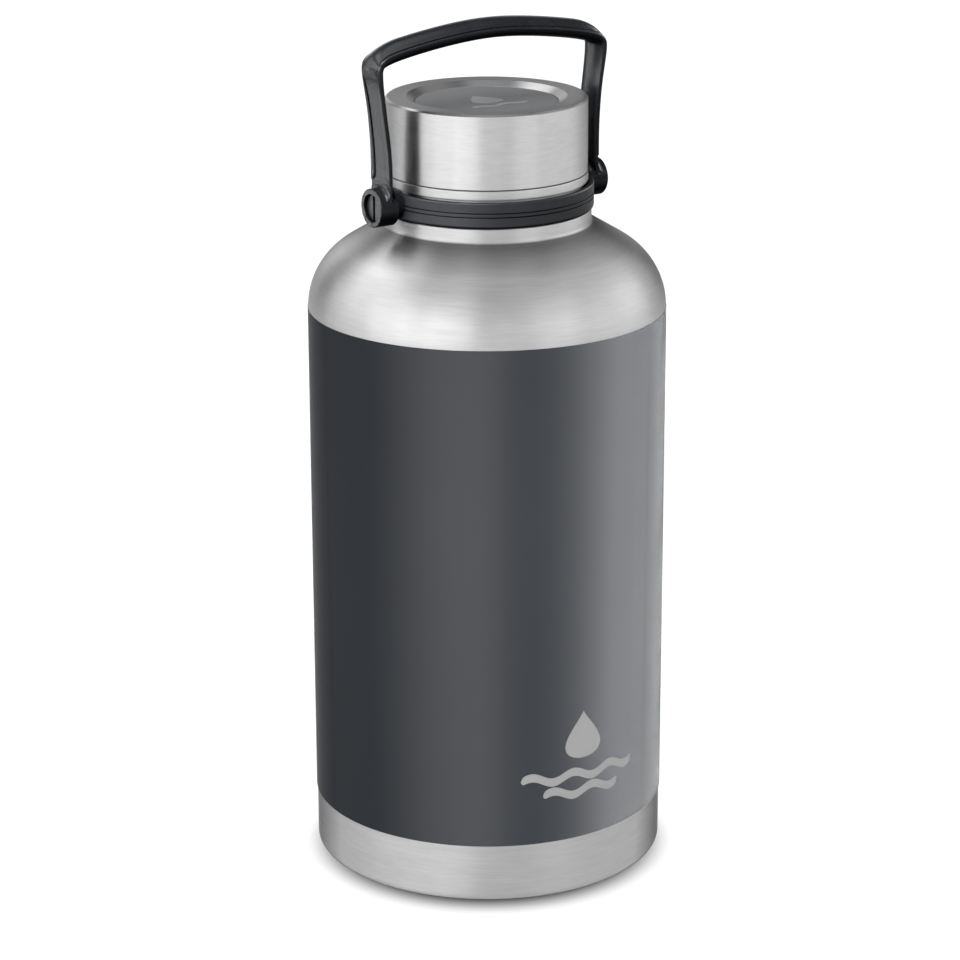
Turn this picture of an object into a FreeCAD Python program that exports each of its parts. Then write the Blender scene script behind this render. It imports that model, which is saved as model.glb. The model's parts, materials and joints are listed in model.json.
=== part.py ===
import FreeCAD, Part
import Sketcher
import math
import os

# Insulated steel growler: double-walled vacuum bottle, clip-on neck collar that
# carries a swinging bail handle, and a steel-capped screw lid.
# Frame: origin at the centre of the foot, +Z up, the handle's pivot axis along X,
# the front of the bottle towards -Y.  All sizes in millimetres.

doc = FreeCAD.newDocument("growler")

# ---------------------------------------------------------------- dimensions
# (alias, value or formula); names ending in Z are heights above the foot
DIMS = [
    # outer vessel
    ("ShellRadius", 62.38), ("ShellWall", 0.6), ("ShoulderRadius", 26.0),
    ("ShoulderKneeZ", 214.0), ("NeckRingRadius", 36.2), ("NeckRingFootZ", 229.75),
    ("NeckRingTopZ", 234.45), ("NeckRadius", 33.4), ("BeadRadius", 35.0),
    ("BeadFootZ", 243.5), ("BeadLowZ", 244.1), ("BeadInnerLift", 0.35), ("RimZ", 247.2),
    ("NeckFillet", 1.6), ("NeckRingRound", 0.5), ("RimRound", 0.45),
    ("InnerKneeZ", 213.66), ("InnerRingFootZ", 229.39),
    # powder coat
    ("CoatRadius", 62.5), ("CoatGap", 0.005), ("CoatLowZ", 21.0), ("CoatTopZ", 199.5),
    # base cup
    ("BaseRadius", 62.15), ("BaseWall", 0.6), ("BaseHeight", 20.9), ("BaseLip", 4.1),
    ("LipRadius", 61.73), ("FootInnerRadius", 50.0), ("FootShift", 0.45),
    ("RecessRadius", 48.0), ("RecessShift", 0.4), ("RecessZ", 3.2), ("SealHoleRadius", 1.5),
    ("BaseFillet", 2.2), ("FootRound", 1.0), ("LipRound", 0.15),
    # base cover
    ("CoverRadius", 46.5), ("CoverWall", 0.5), ("CoverDishZ", 1.9), ("CoverDishRadius", 6.5),
    ("DishRun", 1.6), ("DishShift", 0.3),
    # inner vessel
    ("FlaskRadius", 56.0), ("FlaskWall", 0.5), ("FlaskLowZ", 26.0), ("FlaskKneeZ", 212.6),
    ("FlaskKneeDrop", 0.3), ("FlaskShoulder", 22.0), ("MouthRadius", 31.4),
    ("FlaskNeckZ", 227.1), ("FlaskNeckDrop", 0.28), ("FlaskNeckOuterRound", 3.0),
    ("FlaskNeckInnerRound", 3.5), ("FlaskBottomZ", 16.4), ("FlaskCorner", 8.0),
    # radiation foil, getter and evacuation seal
    ("FoilRadius", 56.3), ("FoilWall", 0.1), ("FoilLowZ", 30.0), ("FoilTopZ", 190.0),
    ("GetterRadius", 4.0), ("GetterThick", 2.6), ("GetterX", 20.0),
    ("BracketReach", 16.0), ("BracketInnerReach", 5.2), ("BracketWidth", 6.0),
    ("BracketHeight", 4.2), ("BracketWall", 0.5),
    ("BeadSealRadius", 3.0), ("SealClear", 0.02), ("SealTaper", 0.9), ("SealDepth", 1.1),
    # screw thread of mouth and stopper
    ("ThreadPitch", 5.0), ("ThreadHeight", 1.2), ("ThreadBase", 2.0), ("ThreadFlank", 0.5),
    ("ThreadRoot", 0.25), ("MouthThreadZ", 236.6), ("MouthThreadLength", 6.0),
    ("PlugThreadZ", 234.6), ("PlugThreadLength", 7.5),
    # collar
    ("RunClear", 0.05), ("CollarRadius", 37.0), ("CollarLowZ", 234.6),
    ("CollarTopZ", "=BeadFootZ"), ("CollarBore", "=NeckRadius + RunClear"),
    ("CollarLipRadius", 35.5), ("CollarLipZ", 242.3), ("BoreOvershoot", 3.0),
    ("GrooveHighZ", 239.9), ("GrooveLowZ", 238.5), ("GrooveHalf", 0.2), ("GrooveDepth", 0.4),
    ("CollarRound", 1.0), ("CollarTopRound", 0.35),
    ("LugRadius", 4.8), ("LugFace", 38.6), ("PivotZ", 239.37),
    # pivots; faces are distances from the bottle's axis, waist depths from InsertFace
    ("FitGap", 0.01), ("InsertRadius", 2.8), ("InsertLength", 4.7), ("InsertFace", 38.4),
    ("WaistFar", 3.0), ("WaistNear", 1.8), ("WaistBevel", 0.2), ("WaistDepth", 0.35),
    ("ShankRadius", 1.9), ("ShankClear", 0.02), ("ShankDepth", 4.2), ("ShankTip", 0.3),
    ("ShoulderPinRadius", 3.0), ("WasherRadius", 5.2), ("WasherThick", 0.5),
    ("WasherFace", "=LugFace + RunClear"), ("ScrewHeadRadius", 4.65),
    ("ScrewHeadThick", 1.5), ("ScrewHeadRound", 0.25), ("ScrewTop", 45.45),
    ("SlotWidth", 1.35), ("SlotHalf", "=SlotWidth / 2"), ("SlotReach", 8.0),
    ("SlotDepth", 0.8), ("SlotLift", 1.0),
    # handle
    ("EyeRadius", 6.65), ("EyeInnerFace", 39.2), ("EyeOuterFace", 46.65),
    ("EyeSinkRadius", 4.8), ("EyeSinkDepth", 2.75),
    ("GripRim", 1.3), ("GripDepth", 1.1), ("LipHeight", 0.35), ("LipEndZ", 249.2),
    # lid
    ("LidRadius", 34.8), ("LidWall", 0.6), ("LidLowZ", 247.65), ("LidTopZ", 273.0),
    ("LidRecessOuter", 27.7), ("LidRecessInner", 24.75), ("LidRecessZ", 270.4),
    ("LidChamfer", 0.7), ("RecessWallRise", 0.05), ("RecessInnerRise", 0.4),
    ("RecessOuterShift", 0.35), ("LidInnerInset", 0.2), ("LidInnerDrop", 0.6),
    ("DiscRadius", 24.6), ("DiscThick", 0.75), ("DiscGap", 0.02), ("DiscRound", 0.2),
    ("PlugRadius", 29.9), ("PlugLowZ", 233.0), ("PlugSkirtRadius", 34.15),
    ("PlugSkirtTopZ", 268.0), ("PlugWall", 2.0), ("PlugNose", 1.2),
    ("GasketInner", 31.0), ("GasketOuter", 33.9), ("GasketLowZ", 247.22),
    ("GasketThick", 1.6), ("GasketGap", 0.05), ("GasketRound", 0.35),
    ("CoverSeatZ", 266.0), ("CoverGap", 0.05), ("CoverBossRadius", 22.0), ("FoamGap", 0.1),
]
sheet = doc.addObject("Spreadsheet::Sheet", "dims")
for row, (alias, content) in enumerate(DIMS, start=1):
    sheet.set("A%d" % row, alias)
    sheet.set("B%d" % row, str(content))
    sheet.setAlias("B%d" % row, alias)
doc.recompute()


# ---------------------------------------------------------------- helpers
def measure(text):
    """Value and sheet expression of a sum of aliases such as "RimZ - ShellWall"."""
    total, sign, words = 0.0, 1, []
    for word in text.split():
        if word in ("+", "-"):
            sign = 1 if word == "+" else -1
        elif word != "0":
            total += sign * float(sheet.get(word))
            word = "dims." + word
        words.append(word)
    return total, " ".join(words)


def size(text):
    return measure(text)[0]


subparts = []


def keep(kind, name):
    """Add an object that is exported under its label."""
    item = doc.addObject(kind, name)
    item.Label = name
    subparts.append(item)
    return item


def new_body(name):
    return keep("PartDesign::Body", name)


def new_sketch(body, name, role):
    """Empty sketch on one of the body's origin planes."""
    sketch = body.newObject("Sketcher::SketchObject", name)
    plane = next(item for item in body.Origin.OriginFeatures if item.Role == role)
    sketch.AttachmentSupport = [(plane, "")]
    sketch.MapMode = "FlatFace"
    return sketch


def pin_point(sketch, geometry, position, place):
    """Fix one sketch point by its two sheet-driven distances from the origin."""
    for axis, other_axis, (distance, expression) in zip("XY", (-2, -1), place):
        if abs(distance) < 1e-9:
            sketch.addConstraint(Sketcher.Constraint(
                "PointOnObject", geometry, position, other_axis))
        else:
            index = sketch.addConstraint(Sketcher.Constraint(
                "Distance" + axis, -1, 1, geometry, position, distance))
            sketch.setExpression("Constraints[%d]" % index, expression)


def outline_sketch(body, name, role, points):
    """Closed polyline whose corners are all driven by the sheet."""
    sketch = new_sketch(body, name, role)
    places = [(measure(across), measure(up)) for across, up in points]
    corners = [FreeCAD.Vector(across[0], up[0], 0) for across, up in places]
    count = len(corners)
    sketch.addGeometry([Part.LineSegment(corners[i], corners[(i + 1) % count])
                        for i in range(count)], False)
    for i in range(count):
        sketch.addConstraint(Sketcher.Constraint("Coincident", i, 2, (i + 1) % count, 1))
    for i in range(count):
        pin_point(sketch, i, 1, places[i])
    return sketch


def pivot_circle(body, name, radius):
    """Circle round the pivot axis, on the YZ plane."""
    sketch = new_sketch(body, name, "YZ_Plane")
    place = measure("0"), measure("PivotZ")
    length, expression = measure(radius)
    sketch.addGeometry(Part.Circle(FreeCAD.Vector(0, place[1][0], 0),
                                   FreeCAD.Vector(0, 0, 1), length), False)
    pin_point(sketch, 0, 3, place)
    index = sketch.addConstraint(Sketcher.Constraint("Radius", 0, length))
    sketch.setExpression("Constraints[%d]" % index, expression)
    return sketch


def revolve(body, name, points, kind="PartDesign::Revolution"):
    """Turn a closed profile given as (radius, height) corners about Z."""
    sketch = outline_sketch(body, name + "_profile", "XZ_Plane", points)
    feature = body.newObject(kind, name)
    feature.Profile = sketch
    feature.ReferenceAxis = (sketch, ["V_Axis"])
    feature.Angle = 360.0
    doc.recompute()


def ring_edges(shape, radius, height, tolerance=0.02):
    """Names of the full or part circles about Z at one radius and height."""
    found = []
    for index, edge in enumerate(shape.Edges, start=1):
        curve = edge.Curve
        if isinstance(curve, Part.Circle) and abs(curve.Radius - radius) < tolerance \
                and abs(curve.Center.z - height) < tolerance \
                and abs(curve.Center.x) < tolerance and abs(curve.Center.y) < tolerance:
            found.append("Edge%d" % index)
    if not found:
        raise RuntimeError("no edge at r %.3f z %.3f" % (radius, height))
    return found


def round_edges(body, name, fillet_radius, *spots):
    """Fillet the circular edges at the (radius, height) spots."""
    base = body.Tip
    edges = []
    for radius, height in spots:
        edges += ring_edges(base.Shape, size(radius), size(height))
    feature = body.newObject("PartDesign::Fillet", name)
    feature.Base = (base, edges)
    feature.Radius, expression = measure(fillet_radius)
    feature.setExpression("Radius", expression)
    doc.recompute()


def turned_body(name, turn, points, rounds=()):
    """Body turned about Z; each round is (name, fillet radius, spot, ...)."""
    body = new_body(name)
    revolve(body, turn, points)
    for entry in rounds:
        round_edges(body, *entry)
    return body


def add_thread(body, name, low, length, root, crest):
    """Right-handed trapezoid ridge wound about Z."""
    sketch = outline_sketch(body, name + "_profile", "XZ_Plane", [
        (root, low),
        (root, low + " + ThreadBase"),
        (crest, low + " + ThreadBase - ThreadFlank"),
        (crest, low + " + ThreadFlank"),
    ])
    helix = body.newObject("PartDesign::AdditiveHelix", name)
    helix.Profile = sketch
    helix.ReferenceAxis = (sketch, ["V_Axis"])
    helix.Mode = 0  # driven by pitch and height
    helix.Pitch = size("ThreadPitch")
    helix.setExpression("Pitch", "dims.ThreadPitch")
    helix.Height = size(length)
    helix.setExpression("Height", "dims." + length)
    helix.LeftHanded = False
    doc.recompute()


def require_cut(body, volume_before, least):
    """Stop if the body's last feature removed less than the least volume."""
    if body.Tip.Shape.Volume > volume_before - least:
        raise RuntimeError("%s cut nothing" % body.Tip.Name)


# ---------------------------------------------------------------- outer vessel
# One thin wall: straight tube, domed shoulder running into a cone, a raised neck
# ring, the undercut that the collar clips into, the bead above it and the rim
# rolled inwards to meet the inner vessel.
turned_body("outer_shell", "shell_turn", [
    ("ShellRadius", "CoatLowZ"),
    ("ShellRadius", "ShoulderKneeZ"),
    ("NeckRingRadius", "NeckRingFootZ"),
    ("NeckRingRadius", "NeckRingTopZ"),
    ("NeckRadius", "NeckRingTopZ"),
    ("NeckRadius", "BeadFootZ"),
    ("BeadRadius", "BeadLowZ"),
    ("BeadRadius", "RimZ"),
    ("MouthRadius", "RimZ"),
    ("MouthRadius", "RimZ - ShellWall"),
    ("BeadRadius - ShellWall", "RimZ - ShellWall"),
    ("BeadRadius - ShellWall", "BeadLowZ + BeadInnerLift"),
    ("NeckRadius - ShellWall", "BeadFootZ + BeadInnerLift"),
    ("NeckRadius - ShellWall", "NeckRingTopZ - ShellWall"),
    ("NeckRingRadius - ShellWall", "NeckRingTopZ - ShellWall"),
    ("NeckRingRadius - ShellWall", "InnerRingFootZ"),
    ("ShellRadius - ShellWall", "InnerKneeZ"),
    ("ShellRadius - ShellWall", "CoatLowZ"),
], [
    ("shoulder_out", "ShoulderRadius", ("ShellRadius", "ShoulderKneeZ")),
    ("shoulder_in", "ShoulderRadius - ShellWall", ("ShellRadius - ShellWall", "InnerKneeZ")),
    ("neck_blend", "NeckFillet", ("NeckRingRadius", "NeckRingFootZ")),
    ("neck_ring_round", "NeckRingRound", ("NeckRingRadius", "NeckRingTopZ")),
    ("rim_round", "RimRound", ("BeadRadius", "RimZ")),
])

# Powder coat: an even sleeve over the straight wall, cut crisp at both ends.
turned_body("powder_coat", "coat_turn", [
    ("CoatRadius", "CoatLowZ"),
    ("CoatRadius", "CoatTopZ"),
    ("ShellRadius + CoatGap", "CoatTopZ"),
    ("ShellRadius + CoatGap", "CoatLowZ"),
])

# Base cup: its lip joggled inwards to enter the outer wall, a standing foot ring
# and a recessed floor with the evacuation hole at its centre.
turned_body("outer_base", "base_turn", [
    ("LipRadius", "BaseHeight + BaseLip"),
    ("LipRadius", "BaseHeight"),
    ("BaseRadius", "BaseHeight"),
    ("BaseRadius", "0"),
    ("FootInnerRadius", "0"),
    ("RecessRadius", "RecessZ"),
    ("SealHoleRadius", "RecessZ"),
    ("SealHoleRadius", "RecessZ + BaseWall"),
    ("RecessRadius + RecessShift", "RecessZ + BaseWall"),
    ("FootInnerRadius + FootShift", "BaseWall"),
    ("BaseRadius - BaseWall", "BaseWall"),
    ("BaseRadius - BaseWall", "BaseHeight - BaseWall"),
    ("LipRadius - BaseWall", "BaseHeight"),
    ("LipRadius - BaseWall", "BaseHeight + BaseLip"),
], [
    ("base_round", "BaseFillet", ("BaseRadius", "0")),
    ("base_round_in", "BaseFillet - BaseWall", ("BaseRadius - BaseWall", "BaseWall")),
    ("foot_round", "FootRound", ("FootInnerRadius", "0")),
    ("lip_round", "LipRound", ("BaseRadius", "BaseHeight")),
])

# Cover disc under the floor, dished so that it clears the evacuation seal.
turned_body("base_plate", "cover_turn", [
    ("0", "CoverDishZ"),
    ("CoverDishRadius", "CoverDishZ"),
    ("CoverDishRadius + DishRun", "RecessZ"),
    ("CoverRadius", "RecessZ"),
    ("CoverRadius", "RecessZ - CoverWall"),
    ("CoverDishRadius + DishRun + DishShift", "RecessZ - CoverWall"),
    ("CoverDishRadius + DishShift", "CoverDishZ - CoverWall"),
    ("0", "CoverDishZ - CoverWall"),
])

# Braze bead that closes the evacuation hole.
turned_body("vacuum_seal_bead", "seal_turn", [
    ("0", "RecessZ + BaseWall"),
    ("SealHoleRadius - SealClear", "RecessZ + BaseWall"),
    ("SealHoleRadius - SealClear", "RecessZ"),
    ("BeadSealRadius", "RecessZ"),
    ("BeadSealRadius - SealTaper", "RecessZ - SealTaper"),
    ("0", "RecessZ - SealDepth"),
])

# ---------------------------------------------------------------- inner vessel
# Inner wall with its shoulder, neck and the screw thread inside the mouth.
flask = turned_body("inner_flask", "flask_turn", [
    ("FlaskRadius", "FlaskLowZ"),
    ("FlaskRadius", "FlaskKneeZ"),
    ("MouthRadius + FlaskWall", "FlaskNeckZ"),
    ("MouthRadius + FlaskWall", "RimZ - ShellWall"),
    ("MouthRadius", "RimZ - ShellWall"),
    ("MouthRadius", "FlaskNeckZ - FlaskNeckDrop"),
    ("FlaskRadius - FlaskWall", "FlaskKneeZ - FlaskKneeDrop"),
    ("FlaskRadius - FlaskWall", "FlaskLowZ"),
], [
    ("flask_out", "FlaskShoulder", ("FlaskRadius", "FlaskKneeZ")),
    ("flask_in", "FlaskShoulder - FlaskWall",
     ("FlaskRadius - FlaskWall", "FlaskKneeZ - FlaskKneeDrop")),
    ("flask_neck_out", "FlaskNeckOuterRound", ("MouthRadius + FlaskWall", "FlaskNeckZ")),
    ("flask_neck_in", "FlaskNeckInnerRound", ("MouthRadius", "FlaskNeckZ - FlaskNeckDrop")),
])
add_thread(flask, "mouth_thread", low="MouthThreadZ", length="MouthThreadLength",
           root="MouthRadius + ThreadRoot", crest="MouthRadius - ThreadHeight")

# Bottom cup of the inner vessel.
turned_body("inner_base", "inner_base_turn", [
    ("0", "FlaskBottomZ"),
    ("FlaskRadius", "FlaskBottomZ"),
    ("FlaskRadius", "FlaskLowZ"),
    ("FlaskRadius - FlaskWall", "FlaskLowZ"),
    ("FlaskRadius - FlaskWall", "FlaskBottomZ + FlaskWall"),
    ("0", "FlaskBottomZ + FlaskWall"),
], [
    ("corner_out", "FlaskCorner", ("FlaskRadius", "FlaskBottomZ")),
    ("corner_in", "FlaskCorner - FlaskWall",
     ("FlaskRadius - FlaskWall", "FlaskBottomZ + FlaskWall")),
])

# Copper radiation foil wound round the inner vessel inside the vacuum space.
turned_body("copper_wrap", "foil_turn", [
    ("FoilRadius", "FoilLowZ"),
    ("FoilRadius", "FoilTopZ"),
    ("FoilRadius - FoilWall", "FoilTopZ"),
    ("FoilRadius - FoilWall", "FoilLowZ"),
])


# Getter pellet under a strap that stands on the floor of the base cup.
def build_bracket():
    body = new_body("getter_bracket")
    floor = "RecessZ + BaseWall"
    foot_top = floor + " + BracketWall"
    bridge_top = floor + " + BracketHeight"
    bridge_under = bridge_top + " - BracketWall"
    leg = "BracketInnerReach"
    pad = body.newObject("PartDesign::Pad", "bracket_pad")
    pad.Profile = outline_sketch(body, "bracket_profile", "XZ_Plane", [
        ("GetterX - BracketReach", floor),
        ("GetterX - " + leg, floor),
        ("GetterX - " + leg, bridge_under),
        ("GetterX + " + leg, bridge_under),
        ("GetterX + " + leg, floor),
        ("GetterX + BracketReach", floor),
        ("GetterX + BracketReach", foot_top),
        ("GetterX + BracketWall + " + leg, foot_top),
        ("GetterX + BracketWall + " + leg, bridge_top),
        ("GetterX - BracketWall - " + leg, bridge_top),
        ("GetterX - BracketWall - " + leg, foot_top),
        ("GetterX - BracketReach", foot_top),
    ])
    pad.Length = size("BracketWidth")
    pad.setExpression("Length", "dims.BracketWidth")
    pad.Midplane = True
    doc.recompute()


build_bracket()
pellet = keep("Part::Cylinder", "getter_pellet")
pellet.setExpression("Radius", "dims.GetterRadius")
pellet.setExpression("Height", "dims.GetterThick")
pellet.Placement.Base = FreeCAD.Vector(size("GetterX"), 0, size("RecessZ + BaseWall"))
doc.recompute()


# ---------------------------------------------------------------- collar
# Ring that snaps over the bead into the neck's undercut and can turn there, with
# a round lug each side for the handle pivots and two fine grooves all round.
def build_collar():
    body = new_body("collar_ring")
    pad = body.newObject("PartDesign::Pad", "lug_pad")
    pad.Profile = pivot_circle(body, "lug_circle", "LugRadius")
    pad.Midplane = True
    pad.Length = 2 * size("LugFace")
    pad.setExpression("Length", "2 * dims.LugFace")
    doc.recompute()

    profile = [("CollarBore", "CollarLowZ"), ("CollarRadius", "CollarLowZ")]
    for middle in ("GrooveLowZ", "GrooveHighZ"):
        profile += [
            ("CollarRadius", middle + " - GrooveHalf"),
            ("CollarRadius - GrooveDepth", middle + " - GrooveHalf"),
            ("CollarRadius - GrooveDepth", middle + " + GrooveHalf"),
            ("CollarRadius", middle + " + GrooveHalf"),
        ]
    profile += [("CollarRadius", "CollarTopZ"), ("CollarBore", "CollarTopZ")]
    revolve(body, "ring_turn", profile)

    # The bore clears the lug bar out of the neck and flares to the bead at the top.
    volume = body.Tip.Shape.Volume
    revolve(body, "ring_bore", [
        ("0", "CollarLowZ - BoreOvershoot"),
        ("CollarBore", "CollarLowZ - BoreOvershoot"),
        ("CollarBore", "CollarLipZ"),
        ("CollarLipRadius", "CollarTopZ"),
        ("CollarLipRadius", "CollarTopZ + BoreOvershoot"),
        ("0", "CollarTopZ + BoreOvershoot"),
    ], kind="PartDesign::Groove")
    require_cut(body, volume, least=100.0)

    volume = body.Tip.Shape.Volume
    circle = pivot_circle(body, "insert_circle", "InsertRadius")
    holes = body.newObject("PartDesign::Pocket", "insert_holes")
    holes.Profile = circle
    holes.Type = "ThroughAll"
    holes.Midplane = True
    doc.recompute()
    require_cut(body, volume, least=50.0)
    round_edges(body, "ring_low_round", "CollarRound", ("CollarRadius", "CollarLowZ"))
    round_edges(body, "ring_top_round", "CollarTopRound", ("CollarRadius", "CollarTopZ"))


build_collar()


# ---------------------------------------------------------------- pivots
# Each part is turned about its own Z, then laid outwards along the pivot axis.
def build_insert(tag):
    """Threaded insert in the lug, with a waist round its outside."""
    inner, outer = "ShankRadius + ShankClear", "InsertRadius - FitGap"
    waist = "InsertRadius - WaistDepth"
    return turned_body("pivot_insert_" + tag, "insert_turn_" + tag, [
        (inner, "InsertFace - InsertLength"),
        (outer, "InsertFace - InsertLength"),
        (outer, "InsertFace - WaistFar"),
        (waist, "InsertFace - WaistFar + WaistBevel"),
        (waist, "InsertFace - WaistNear - WaistBevel"),
        (outer, "InsertFace - WaistNear"),
        (outer, "InsertFace"),
        (inner, "InsertFace"),
    ])


def build_washer(tag):
    """Friction washer between lug and handle eye."""
    return turned_body("pivot_washer_" + tag, "washer_turn_" + tag, [
        ("ShoulderPinRadius + RunClear", "WasherFace"),
        ("WasherRadius", "WasherFace"),
        ("WasherRadius", "WasherFace + WasherThick"),
        ("ShoulderPinRadius + RunClear", "WasherFace + WasherThick"),
    ])


def build_screw(tag):
    """Coin-slot screw: shank in the insert, shoulder as pivot pin, head in the eye."""
    body = turned_body("pivot_screw_" + tag, "screw_turn_" + tag, [
        ("0", "InsertFace - ShankDepth"),
        ("ShankRadius - ShankTip", "InsertFace - ShankDepth"),
        ("ShankRadius", "InsertFace - ShankDepth + ShankTip"),
        ("ShankRadius", "LugFace + FitGap"),
        ("ShoulderPinRadius", "LugFace + FitGap"),
        ("ShoulderPinRadius", "ScrewTop - ScrewHeadThick"),
        ("ScrewHeadRadius", "ScrewTop - ScrewHeadThick"),
        ("ScrewHeadRadius", "ScrewTop"),
        ("0", "ScrewTop"),
    ], [
        ("head_round_" + tag, "ScrewHeadRound", ("ScrewHeadRadius", "ScrewTop")),
    ])
    volume = body.Tip.Shape.Volume
    # The slot runs along the screw's own X, which the placement turns upright.
    slot = outline_sketch(body, "slot_outline_" + tag, "XY_Plane", [
        ("- SlotReach", "- SlotHalf"),
        ("SlotReach", "- SlotHalf"),
        ("SlotReach", "SlotHalf"),
        ("- SlotReach", "SlotHalf"),
    ])
    height, expression = measure("ScrewTop + SlotLift")
    slot.AttachmentOffset = FreeCAD.Placement(FreeCAD.Vector(0, 0, height),
                                              FreeCAD.Rotation())
    slot.setExpression("AttachmentOffset.Base.z", expression)
    cut = body.newObject("PartDesign::Pocket", "slot_cut_" + tag)
    cut.Profile = slot
    cut.Length, expression = measure("SlotDepth + SlotLift")
    cut.setExpression("Length", expression)
    cut.Reversed = False
    doc.recompute()
    require_cut(body, volume, least=2.0)
    return body


for side, tag in ((-1, "left"), (1, "right")):
    outwards = FreeCAD.Placement(FreeCAD.Vector(0, 0, size("PivotZ")),
                                 FreeCAD.Rotation(FreeCAD.Vector(0, 1, 0), 90.0 * side))
    for build in (build_insert, build_washer, build_screw):
        build(tag).Placement = outwards

# ---------------------------------------------------------------- handle
# The bail follows one smooth line in the XZ plane: legs that flare gently
# outwards, tight shoulders and a low arch.  Its section is a flat strap in the legs
# and a full oval in the arch.  The line is the outer edge of the frame.

# (x, z) poles of the line on the right half, from the leg's foot up to the apex
BAIL_POLES = [(43.05, 246.0), (42.8, 256.0), (44.0, 267.0), (45.4, 279.0), (47.4, 287.7),
              (43.9, 291.6), (30.0, 294.2), (15.5, 296.1), (0.0, 297.15)]
LEG_X = BAIL_POLES[0][0]
# (z, width) of the straight sections below the line's ends, downwards
LEG_FEET = [(243.0, 12.8), (239.4, 12.9)]
BAIL_STEPS = 44      # even steps of the section stations along the line
END_STATIONS = [0.005, 0.012]  # extra stations next to each end

# (position, size) rows; position is 0 at the apex and 1 at the foot of the leg
WIDTH = [(0.0, 13.2), (0.30, 12.8), (0.50, 12.0), (0.80, 10.7), (1.0, 12.3)]
# depth of the frame's straight sides, and of the oval belly inside them
EDGE = [(0.0, 1.1), (0.34, 1.1), (0.52, 1.0), (1.0, 0.9)]
BELLY = [(0.0, 2.7), (0.42, 2.9), (0.60, 2.2), (0.74, 1.5), (1.0, 1.5)]
# height of the strip's middle above the line
CROWN = [(0.0, 3.0), (0.34, 2.8), (0.56, 0.6), (0.68, -size("LipHeight")),
         (1.0, -size("LipHeight"))]
# width of the lip each side of the strip; it grows towards the foot of the leg
RIM = [(0.0, size("GripRim")), (0.62, size("GripRim")), (0.80, 1.7), (1.0, 2.6)]

OVAL_POWER = 0.86    # below 1 squares the belly's oval
OVAL_STEPS = 12
CROWN_STEPS = 10
STRIP_LIP = 0.02     # height of the strip's sides above the line in the arch,
STRIP_LIP_RISE = 0.12  # plus this share of its crown
STRIP_END = 0.9925   # position where the soft strip ends, just above each eye
CHANNEL_SLACK = 0.02
CHANNEL_OVERSHOOT = 2.0

STEP_BOX = (8.0, 24.0, 14.0)  # x, y, z size of the cutter that ends the lips
BORE_START, BORE_LENGTH = 36.0, 14.0
SINK_LENGTH = 6.0
INBOARD_RADIUS, INBOARD_DEPTH = 8.0, 3.0  # clearance cut inboard of each eye


def blend(position, table):
    """Smooth step-wise interpolation in a table of (position, size) rows."""
    if position <= table[0][0]:
        return table[0][1]
    for (start, first), (end, last) in zip(table, table[1:]):
        if position <= end:
            share = (position - start) / (end - start)
            share = share * share * (3 - 2 * share)
            return first + (last - first) * share
    return table[-1][1]


def bail_line():
    """Clamped cubic spline from the left foot over the apex to the right foot."""
    poles = [FreeCAD.Vector(-x, 0, z) for x, z in BAIL_POLES] + \
            [FreeCAD.Vector(x, 0, z) for x, z in reversed(BAIL_POLES[:-1])]
    inner_knots = len(poles) - 4
    knots = [i / float(inner_knots + 1) for i in range(inner_knots + 2)]
    line = Part.BSplineCurve()
    line.buildFromPolesMultsKnots(poles, [4] + [1] * inner_knots + [4], knots, False, 3)
    return line


def foot_station(side, z, width):
    return FreeCAD.Vector(side * LEG_X, 0, z), FreeCAD.Vector(side, 0, 0), 1.0, width


def bail_stations():
    """(origin, outward normal, position, width) of every section, left to right."""
    line = bail_line()
    parameters = [0.0] + END_STATIONS + \
                 [i / float(BAIL_STEPS) for i in range(1, BAIL_STEPS)] + \
                 [1.0 - end for end in reversed(END_STATIONS)] + [1.0]
    stations = [foot_station(-1, z, width) for z, width in reversed(LEG_FEET)]
    for parameter in parameters:
        along = line.tangent(parameter)[0]
        normal = FreeCAD.Vector(-along.z, 0, along.x)
        position = abs(parameter - 0.5) * 2
        stations.append((line.value(parameter), normal, position, blend(position, WIDTH)))
    return stations + [foot_station(1, z, width) for z, width in LEG_FEET]


def place(origin, normal, y, rise):
    """Point of a section: y across the strap, rise along the outward normal."""
    return FreeCAD.Vector(origin.x + normal.x * rise, y, origin.z + normal.z * rise)


def smooth_edge(points):
    curve = Part.BSplineCurve()
    curve.interpolate(points)
    return curve.toShape()


def frame_wire(origin, normal, position, width):
    """Section of the frame: flat outside, short sides and an oval belly."""
    edge, belly = blend(position, EDGE), blend(position, BELLY)
    half = width / 2
    top_left = place(origin, normal, -half, 0)
    top_right = place(origin, normal, half, 0)
    low_right = place(origin, normal, half, -edge)
    low_left = place(origin, normal, -half, -edge)
    curve = []
    for k in range(OVAL_STEPS + 1):
        angle = math.pi * k / OVAL_STEPS
        y = half * math.copysign(abs(math.cos(angle)) ** OVAL_POWER, math.cos(angle))
        rise = -edge - belly * abs(math.sin(angle)) ** OVAL_POWER
        curve.append(place(origin, normal, y, rise))
    return Part.Wire([Part.makeLine(top_left, top_right), Part.makeLine(top_right, low_right),
                      smooth_edge(curve), Part.makeLine(low_left, top_left)])


def strip_floor(origin, normal, position, width, slack):
    """Half width of the strip and the two ends of its floor, grown by the slack."""
    half = width / 2 - blend(position, RIM) + slack
    low = -size("GripDepth") - slack
    return half, place(origin, normal, -half, low), place(origin, normal, half, low)


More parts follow.
